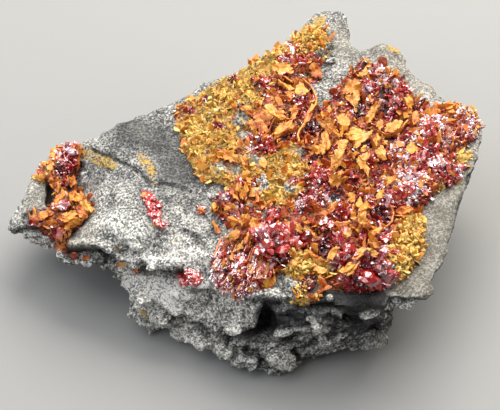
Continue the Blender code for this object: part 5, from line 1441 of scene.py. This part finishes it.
growths = {"field": [
    dict(name="realgar_druse", family="prisms", zone="red", finish=redFinish, spacing=0.66,
         sizes=(0.5, 1.7),
         lean=50, seed=1, tints=(0.0, 1.1)),
    # the frost's fine crystals, their pale tints painted glints
    dict(name="realgar_sugar", family="sugar", zone="frost", finish=redFinish, spacing=0.3,
         sizes=(0.35, 0.9),
         lean=80, seed=11, tints=(0.5, 1.3)),
    dict(name="realgar_red_shards", family="shards", zone="red", finish=redFinish, spacing=0.65,
         sizes=(0.5, 1.35),
         lean=75, seed=12, sink=0.1, tints=(0.1, 1.0)),
    dict(name="pararealgar_scales", family="shards", zone="orange", finish=orangeFinish, spacing=0.95,
         sizes=(0.8, 2.5),
         lean=62, sink=0.2, seed=3, tints=(0.12, 1.0)),
    dict(name="pararealgar_curled_scales", family="scales", zone="orange", finish=orangeFinish, spacing=2.2,
         sizes=(0.9, 1.9), lean=62, sink=0.2, seed=13, tints=(0.25, 0.9)),
    dict(name="pararealgar_grains", family="chips", zone="orange", finish=orangeFinish, spacing=0.75,
         sizes=(0.4, 1.0),
         lean=60, seed=4),
    dict(name="red_grains_in_orange", family="shards", zone="orange", finish=redFinish, spacing=0.85,
         sizes=(0.4, 1.5),
         lean=70, seed=5, fill=0.5, tints=(0.0, 1.0)),
    dict(name="pararealgar_powder_grains", family="sugar", zone="yellow", finish=yellowFinish, spacing=0.4,
         sizes=(0.28, 0.6), lean=80, seed=6, tints=(0.0, 1.0)),
    dict(name="scales_in_yellow", family="shards", zone="yellow", finish=yellowFinish, spacing=0.66,
         fill=0.9,
         sizes=(0.5, 1.6), lean=38, seed=7, sink=0.1, tints=(0.35, 1.05)),
    dict(name="orange_scales_in_yellow", family="shards", zone="yellow", finish=orangeFinish, spacing=1.1,
         fill=0.8,
         sizes=(0.6, 2.1), lean=40, seed=17, sink=0.15, tints=(0.35, 0.9)),
    dict(name="red_grains_in_yellow", family="prisms", zone="yellow", finish=redFinish, spacing=1.3,
         sizes=(0.3, 0.8),
         lean=60, seed=15, fill=0.6),
], "lobe": [
    dict(name="lobe_druse", family="shards", zone="red", finish=redFinish, spacing=0.55, sizes=(0.5, 1.5),
         lean=65, seed=8, tints=(0.25, 1.05)),
    dict(name="lobe_scales", family="shards", zone="orange", finish=orangeFinish, spacing=0.65,
         sizes=(0.6, 1.7),
         lean=55, seed=9, sink=0.1, tints=(0.2, 1.0)),
    dict(name="lobe_powder_grains", family="sugar", zone="yellow", finish=yellowFinish, spacing=0.34,
         sizes=(0.3, 0.8),
         lean=60, seed=10),
]}
for skin, where in ((fieldSkin, "field"), (lobeSkin, "lobe")):
    for settings in growths[where]:
        grow(skin=skin,
                     **settings)
for skin in (fieldSkin, lobeSkin):
    bpy.data.objects.remove(skin)

# the plates' own shape, sizes in mm
plates = {
    "thickness": 0.3,
    "lift": 0.45,
    "cuts": 3,
    "crumple": 0.2,
    "crumples": [(1.6, 1.1), (0.6, 0.5)],  # (share, size): across the plate, and every way
    "folds": (0.22, 1.5),  # (height, size)
    "ragged": (0.4, 0.55),
    "chipped": (0.06, 0.45),  # the lower the first, the more of its edge is broken off; size of the pieces
    "edgeTint": -0.3,  # how much darker its underside is
    # painted light and shade: how much paler a plate's highest points are and darker its lowest
    "paintedTipLight": 0.3,
    "cloudTint": (0.4, 0.9),  # (how much, size)
    "rimThickness": 0.32,
    "rimLean": (0.35, 1.5),
    "rimWobble": (0.18, 0.8),
    "rimEnds": 0.55,  # share of its height that a rim keeps at its ends
    "rimRows": (0, 0.35, 0.7, 1),
    "seed": 4,
}


def addSheet(bm, corners, tint):
    places = [spot(across, down, above + plates["lift"], growthTree) for across, down, above in corners]
    sheet = bmesh.new()
    face = sheet.faces.new([sheet.verts.new(place) for place in places])
    sheet.normal_update()
    if face.normal.dot(eye - face.calc_center_median()) < 0:
        bmesh.ops.reverse_faces(sheet, faces=[face])
    outwards = face.normal.copy()
    bmesh.ops.poke(sheet, faces=[face])
    bmesh.ops.subdivide_edges(sheet, edges=sheet.edges[:], cuts=plates["cuts"], use_grid_fill=True)
    rim = [part for part in sheet.faces if any(edge.is_boundary for edge in part.edges)]
    level, size = plates["chipped"]
    chipped = [part for part in rim if noise.noise(part.calc_center_median() / (size * mm)) > level]
    if len(chipped) < len(sheet.faces):
        bmesh.ops.delete(sheet, geom=chipped, context="FACES")
    (across, wide), (around, narrow) = plates["crumples"]
    much, size = plates["ragged"]
    for v in sheet.verts:
        q = v.co / mm
        bent = outwards * noise.noise(q / wide) * across + noise.noise_vector(q / narrow) * around
        v.co += bent * plates["crumple"] * mm
        v.co += outwards * facets(q, *plates["folds"]) * mm
        if v.is_boundary:
            ragged = noise.noise_vector(q / size + Vector((7, 3, 1))) * much * mm
            v.co += ragged - outwards * ragged.dot(outwards)
    addThick(bm, sheet, outwards, plates["thickness"], tint)


# thickens an open sheet away from the eye and adds it to bm, with its tint
def addThick(bm, sheet, outwards, thickness, tint):
    made = bmesh.ops.extrude_face_region(sheet, geom=sheet.faces[:] + sheet.edges[:] + sheet.verts[:])
    under = {v for v in made["geom"] if isinstance(v, bmesh.types.BMVert)}
    for v in under:
        v.co -= outwards * thickness * mm
    bmesh.ops.recalc_face_normals(sheet, faces=sheet.faces)
    layer = bm.verts.layers.float["tint"]
    heights = [v.co.z for v in sheet.verts]
    low, high = min(heights), max(heights)
    clouds, size = plates["cloudTint"]
    copies = {}
    for v in sheet.verts:
        copies[v] = bm.verts.new(v.co)
        own = tint + clouds * noise.noise(v.co / (size * mm))
        own += plates["paintedTipLight"] * ((v.co.z - low) / (high - low) - 0.5)
        copies[v][layer] = min(1, max(0, own + (plates["edgeTint"] if v in under else 0)))
    for face in sheet.faces:
        bm.faces.new([copies[v] for v in face.verts])
    sheet.free()


def addRim(bm, tint, height, path):
    tops = [spot(across, down, above, growthTree) for across, down, above in path]
    fine = []
    for a, b in zip(tops, tops[1:]):
        fine += [a, a.lerp(b, 0.5)]
    fine.append(tops[-1])
    leaning, leanSize = plates["rimLean"]
    wobbling, wobbleSize = plates["rimWobble"]
    kept = plates["rimEnds"]
    sheet = bmesh.new()
    rows = []
    for k, top in enumerate(fine):
        along = (fine[min(k + 1, len(fine) - 1)] - fine[max(k - 1, 0)]).normalized()
        q = top / mm
        lean = along.cross(Vector((0, 0, 1))) * leaning * noise.noise(q / leanSize)
        wobble = noise.noise_vector(q / wobbleSize) * wobbling * mm
        ends = min(k, len(fine) - 1 - k, 2) / 2
        tall = height * mm * (kept + (1 - kept) * ends)
        drop = Vector((0, 0, 1)) + lean
        rows.append([sheet.verts.new(top + wobble - drop * tall * share) for share in plates["rimRows"]])
    for left, right in zip(rows, rows[1:]):
        for k in range(len(left) - 1):
            sheet.faces.new((left[k], left[k + 1], right[k + 1], right[k]))
    sheet.normal_update()
    across = sum((face.normal for face in sheet.faces), Vector()).normalized()
    addThick(bm, sheet, across, plates["rimThickness"], tint)


def makePlates(name, sheets, rims, finish):
    noise.seed_set(plates["seed"])
    bm = bmesh.new()
    bm.verts.layers.float.new("tint")
    for tint, corners in sheets:
        addSheet(bm, corners, tint)
    for tint, height, path in rims:
        addRim(bm, tint, height, path)
    made = fromBmesh(name, bm, finish)
    print(name, "has", len(made.data.polygons), "faces")
    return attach(made, "root")


makePlates("pararealgar_plates", waxyPlates, waxyRims, orangeFinish)
makePlates("realgar_plates", redPlates, [], redFinish)

# the blades that lie side by side at the front: (across, down, radius) of where, and how they lie
blades = {
    "where": [(222, 258, 8), (218, 271, 8), (234, 262, 10), (247, 268, 11), (260, 268, 9), (238, 283, 10),
        (252, 285, 8), (226, 283, 8), (240, 291, 6)],
    "count": 300,
    "heading": (62, 8),  # degrees in the frame, and how much it varies
    "lengths": (1.8, 4.4),  # mm
    "widths": (0.25, 0.6),
    "depth": 0.7,  # share of the width
    "lift": (0.12, 0.42),  # how steeply they rise
    "tints": (0.4, 1.1),
}
# lumps of larger crystals: (across, down, radius, how many, smallest, largest, tint), sizes in mm; those in
# the hollows have tints near 0, painted near black as shade in the hollow
lumps = [
    (270, 243, 2.4, 26, 1.6, 3.6, 0.42), (279, 254, 1.8, 16, 1.4, 3, 0.32),
    (262, 233, 1.2, 9, 1.2, 2.4, 0.5), (369, 268, 2.8, 24, 1.5, 3.2, 0.2), (384, 277, 1.7, 12, 1.4, 3, 0.2),
    (357, 277, 1.6, 10, 1.2, 2.4, 0.22), (311, 129, 1.7, 26, 0.7, 1.6, 0), (385, 108, 1, 12, 0.6, 1.3, 0),
    (359, 114, 1, 12, 0.6, 1.3, 0.02), (369, 143, 1.1, 10, 0.6, 1.2, 0.02),
    (335, 195, 1.4, 14, 0.6, 1.3, 0.05), (324, 250, 1.2, 12, 0.7, 1.4, 0.05),
    (392, 131, 1.5, 14, 0.7, 1.4, 0.05), (290, 133, 1.2, 10, 0.6, 1.3, 0.1),
    (306, 287, 1, 9, 0.6, 1.2, 0.1), (341, 258, 1.6, 12, 1.2, 2.6, 0.55),
    (296, 240, 1.6, 12, 1.4, 2.8, 0.4), (370, 238, 1.6, 10, 1.2, 2.6, 0.25),
    (381, 214, 2, 16, 1, 2.2, 0.05), (384, 243, 1.4, 8, 1.2, 2.4, 0.3), (345, 245, 1.4, 9, 1.4, 2.8, 0.4),
    (326, 226, 1.2, 9, 0.8, 1.6, 0.4), (344, 214, 1.3, 12, 0.7, 1.6, 0.45),
    (369, 88, 1.4, 12, 0.8, 1.7, 0.55), (300, 112, 1.1, 9, 0.8, 1.6, 0.3),
    (270, 144, 1.4, 12, 0.7, 1.6, 0.3), (433, 136, 2.2, 16, 0.8, 1.8, 0.2),
    (467, 130, 1.6, 12, 0.7, 1.5, 0.25), (420, 160, 1.8, 14, 0.8, 1.8, 0.25),
    (448, 176, 1.7, 12, 0.8, 1.7, 0.25), (402, 198, 2, 14, 0.8, 1.8, 0.25),
    (390, 92, 1.3, 10, 0.7, 1.6, 0.3), (272, 215, 1.1, 10, 0.7, 1.5, 0.3),
    (371, 159, 0.8, 6, 0.7, 1.3, 0.4), (322, 182, 1.4, 12, 0.7, 1.5, 0.35),
    (384, 236, 1.2, 10, 0.7, 1.5, 0.25), (233, 216, 0.9, 8, 0.6, 1.3, 0.5),
    (404, 98, 1.2, 9, 0.7, 1.5, 0.35), (300, 62, 0.9, 8, 0.6, 1.3, 0.4), (221, 262, 1, 8, 0.8, 1.5, 0.5),
    (66, 145, 1.5, 22, 0.8, 1.9, 0.65), (71, 151, 1.2, 14, 0.8, 1.8, 0.6),
    (62, 157, 1.2, 14, 0.8, 1.6, 0.55), (64, 164, 1, 10, 0.7, 1.5, 0.4), (63, 171, 1.3, 12, 0.6, 1.3, 0.1),
    (60, 181, 1, 9, 0.6, 1.4, 0.7), (62, 206, 1.2, 12, 0.8, 1.8, 0.85), (36, 219, 0.5, 5, 0.5, 1.1, 0.5),
    (56, 233, 0.9, 8, 0.6, 1.3, 0.35),
]
# crystals that lie alone on the stone, for the CAD ones, as the blades are given
loneCrystals = {
    "realgar_crystal_centre": {
        "where": [(147, 196, 4.0), (150, 200, 5.5), (152, 205, 5.5), (153, 210, 4.5), (156, 217, 3.0),
            (158, 221, 2.2)],
        "count": 60, "heading": (-70, 14), "lengths": (1.4, 3.0), "widths": (0.7, 1.3), "depth": 0.7,
        "lift": (0.2, 0.6), "tints": (0.15, 0.65)},
    "realgar_crystal_front": {
        "where": [(184, 281, 4.5), (189, 277, 5.0), (195, 280, 4.0)],
        "count": 60, "heading": (70, 40), "lengths": (0.9, 2.0), "widths": (0.6, 1.1), "depth": 0.7,
        "lift": (0.2, 0.8), "tints": (0.46, 0.58)},
    "realgar_crystal_side": {
        "where": [(202, 212, 2.2)],
        "count": 14, "heading": (80, 60), "lengths": (0.7, 1.3), "widths": (0.4, 0.8), "depth": 0.7,
        "lift": (0.3, 1.0), "tints": (0.35, 0.6)},
}


crystal = {
    "sides": 6,
    "rings": ((-0.3, 0.9), (0.66, 1.0), (0.92, 0.5)),  # (how far along, share of its width)
    "uneven": 0.22,  # how far its edges pair up
    "slant": 0.35,
}
# how a lump's crystals stand; sizes in mm
lumpRules = {
    "drop": 2.5,  # how far from its middle a crystal's root may be, up or down
    "splay": 0.9,
    "stray": 0.5,
    "widths": (0.55, 0.95),  # share of the length
    "depths": (0.6, 1.0),  # share of the width
    "tints": (-0.25, 0.3),
    "paintedGlint": 0.3,  # painted glint: how much paler a crystal is where frost covers it
}


# a crystal with a bevelled end, from its root along an axis; sizes in mm
def addCrystal(bm, root, axis, length, wide, deep, tint):
    layer = bm.verts.layers.float[0]
    axis = axis.normalized()
    right = axis.cross(Vector((0.31, 0.2, 1))).normalized()
    ahead = axis.cross(right)
    sides = crystal["sides"]
    spin = pick.uniform(0, math.tau)
    slant = pick.uniform(-crystal["slant"], crystal["slant"])
    rings = []
    for along, share in crystal["rings"]:
        ring = []
        for k in range(sides):
            turn = spin + math.tau * (k + crystal["uneven"] * (-1) ** k) / sides
            x, y = 0.5 * wide * math.cos(turn) * share, 0.5 * deep * math.sin(turn) * share
            z = along * length + max(0, along) * slant * x * 2
            v = bm.verts.new(root + (right * x + ahead * y + axis * z) * mm)
            v[layer] = tint
            ring.append(v)
        rings.append(ring)
    made = [bm.faces.new(rings[0][::-1]), bm.faces.new(rings[2])]
    for low, high in zip(rings, rings[1:]):
        for k in range(sides):
            j = (k + 1) % sides
            made.append(bm.faces.new((low[k], low[j], high[j], high[k])))
    bmesh.ops.recalc_face_normals(bm, faces=made)


# a random turn, and a reach inside a circle
def inCircle(radius):
    return pick.uniform(0, math.tau), radius * math.sqrt(pick.random())


# whether a place lies where frost covers the crystals, whose tint is painted paler there as glint
def inPaintedGlint(place):
    steps = view["frame"][0] / view["frameWidth"]
    across, down = np.array(inFrame([place])).ravel()
    patches = field["frost"] + lobeCrust["frost"]
    return any(math.hypot(across - a, down - d) < steps * radius for a, d, radius in patches)


def addLump(bm, across, down, radius, count, smallest, largest, tint, tree=growthTree, tintRange=(0, 1)):
    rules = lumpRules
    middle = spot(across, down, 0, tree)
    for _ in range(count):
        turn, reach = inCircle(radius)
        x, y = middle.x + reach * math.cos(turn) * mm, middle.y + reach * math.sin(turn) * mm
        place, _, _, _ = tree.ray_cast(Vector((x, y, highAbove * mm)), downwards)
        if place is None or abs(place.z - middle.z) > rules["drop"] * mm or underPlates([place])[0]:
            continue
        glinting = tintRange[1] == 1 and inPaintedGlint(place)
        splay, stray = rules["splay"], rules["stray"]
        tilt = reach / radius
        x = splay * tilt * math.cos(turn) + pick.uniform(-stray, stray)
        y = splay * tilt * math.sin(turn) + pick.uniform(-stray, stray)
        size = pick.uniform(smallest, largest)
        wide = size * pick.uniform(*rules["widths"])
        deep = wide * pick.uniform(*rules["depths"])
        own = tint + pick.uniform(*rules["tints"]) + rules["paintedGlint"] * glinting
        addCrystal(bm, place, Vector((x, y, splay)), size, wide, deep,
                   min(tintRange[1], max(tintRange[0], own)))


def makeBlades(bm, blades, tree=growthTree):
    for _ in range(blades["count"]):
        across, down, radius = pick.choice(blades["where"])
        turn, reach = inCircle(radius)
        root = spot(across + reach * math.cos(turn), down + reach * math.sin(turn), 0.1, tree)
        heading = math.radians(pick.gauss(*blades["heading"]))
        axis = Vector((math.cos(heading), math.sin(heading) / math.sin(up), pick.uniform(*blades["lift"])))
        wide = pick.uniform(*blades["widths"])
        length = pick.uniform(*blades["lengths"])
        addCrystal(bm, root, axis, length, wide, blades["depth"] * wide, pick.uniform(*blades["tints"]))


def newCrystals(layer="tint"):
    bm = bmesh.new()
    bm.verts.layers.float.new(layer)
    return bm


rockPlaces = [v.co for v in rock.data.vertices]
rockTree = BVHTree.FromPolygons(rockPlaces, [face.vertices for face in rock.data.polygons])
bladed = newCrystals()
makeBlades(bladed, blades)
salmonBlades = newCrystals()
makeBlades(salmonBlades, dict(blades, count=110, tints=(0.7, 1.2)))
lumped = newCrystals()
for lump in lumps:
    addLump(lumped, *lump)
for name, bm in (("realgar_blades", bladed), ("realgar_lumps", lumped)):
    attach(fromBmesh(name, bm, redFinish), "root")
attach(fromBmesh("pararealgar_blades", salmonBlades, orangeFinish), "root")
for node, laid in loneCrystals.items():
    alone = newCrystals()
    makeBlades(alone, laid, rockTree)
    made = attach(fromBmesh(node + "_faces", alone, redFinish), "root")
    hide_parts(node)
print("crystals placed")

# bright powdery lumps in the yellow, listed as the other lumps are
powderLumps = [
    (410, 228, 2.4, 22, 0.5, 1.1, 0.7), (414, 242, 2.2, 20, 0.5, 1.1, 0.75),
    (408, 254, 2.2, 20, 0.5, 1.1, 0.7), (400, 266, 2, 18, 0.5, 1, 0.7), (418, 218, 1.6, 12, 0.5, 1, 0.8),
    (392, 276, 1.3, 20, 0.4, 0.9, 0.75), (398, 240, 1.4, 20, 0.5, 1, 0.5),
    (452, 108, 1.1, 17, 0.4, 0.9, 0.6), (474, 107, 1.6, 27, 0.4, 0.9, 0.7),
    (484, 115, 1.2, 17, 0.4, 0.9, 0.6), (466, 156, 1.2, 17, 0.4, 0.9, 0.75),
    (440, 187, 1.2, 15, 0.4, 0.9, 0.6), (316, 34, 2.2, 40, 0.4, 0.9, 0.6),
    (300, 42, 1.8, 27, 0.4, 0.9, 0.5), (280, 52, 1.6, 23, 0.4, 0.9, 0.7), (300, 264, 1.8, 27, 0.5, 1, 0.6),
    (318, 267, 1.6, 23, 0.5, 1, 0.55), (304, 284, 1.4, 20, 0.4, 0.9, 0.6),
    (205, 130, 2.4, 30, 0.4, 0.9, 0.7), (192, 146, 2.2, 27, 0.4, 0.9, 0.7),
    (225, 105, 2.2, 27, 0.4, 0.9, 0.6), (46, 152, 0.9, 17, 0.4, 0.9, 0.7),
    (45, 162, 0.9, 17, 0.4, 0.9, 0.7), (39, 177, 1, 17, 0.4, 0.9, 0.75),
]
powdery = newCrystals()
for lump in powderLumps:
    addLump(powdery, *lump)
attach(fromBmesh("pararealgar_powder_lumps", powdery, yellowFinish), "root")

# bits of bare stone and white calcite that stick out of the growth, as lumps are listed but with a tone
bits = [
    (262, 184, 0.7, 4, 1.4, 2, 2.2), (261, 191, 0.7, 4, 1.4, 2.2, 2.6), (260, 198, 0.6, 4, 1.2, 1.8, 2),
    (325, 57, 1.2, 10, 1.2, 2, 0.1), (331, 52, 0.8, 5, 1, 1.6, 0.3), (286, 292, 1.4, 10, 1, 1.8, 0.6),
]
bitsBody = newCrystals("toneAndPaintedLight")
for bit in bits:
    addLump(bitsBody, *bit, tintRange=(-1, 4))
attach(fromBmesh("limestone_bits", bitsBody, stoneFinish), "root")


# floor and light

studio = {
    "floor": "#9e9e9c",
    "key": ((0.13, 0.30, 0.40), (0.46, 0.34), 4.0, "#fffaf3"),  # place, size, watts, colour
    "top": ((-0.12, 0.14, 0.52), (0.6, 0.5), 2.1, "#ffffff"),
    "side": ((0.46, 0.00, 0.22), (0.25, 0.25), 0.6, "#fff9f2"),
    "fill": ((-0.36, -0.20, 0.42), (0.4, 0.4), 1.0, "#f4f6ff"),
    "glintLeft": ((-0.28, 0.24, 0.34), (0.3, 0.3), 2.5, "#f6f8ff"),  # these two show only as reflections
    "glintRight": ((0.20, 0.02, 0.55), (0.3, 0.3), 2.5, "#ffffff"),
    "sky": ("#e8ebf0", 0.12),
}


def makeStudio():
    floor = bpy.data.meshes.new("floor")
    floor.from_pydata([(-2, -2, 0), (2, -2, 0), (2, 2, 0), (-2, 2, 0)], [], [(0, 1, 2, 3)])
    material, _, _, shader = newMaterial("matte_card")
    shader.inputs["Base Color"].default_value = linear(studio["floor"])
    shader.inputs["Roughness"].default_value = 0.9
    newObject("floor", floor, material)
    for name in ("key", "top", "side", "fill", "glintLeft", "glintRight"):
        place, size, watts, colour = studio[name]
        light = bpy.data.lights.new(name, "AREA")
        light.shape = "RECTANGLE"
        light.size, light.size_y = size
        light.energy = watts
        light.color = linear(colour)[:3]
        lamp = bpy.data.objects.new(name, light)
        lamp.location = place
        lamp.visible_diffuse = not name.startswith("glint")
        lamp.rotation_euler = (aim - Vector(place)).to_track_quat("-Z", "Y").to_euler()
        scene.collection.objects.link(lamp)
    world = bpy.data.worlds.new("studio")
    world.use_nodes = True
    colour, strength = studio["sky"]
    world.node_tree.nodes["Background"].inputs[0].default_value = linear(colour)
    world.node_tree.nodes["Background"].inputs[1].default_value = strength
    scene.world = world
    scene.view_settings.view_transform = "Standard"


makeStudio()
makeCamera()

bpy.context.view_layer.update()
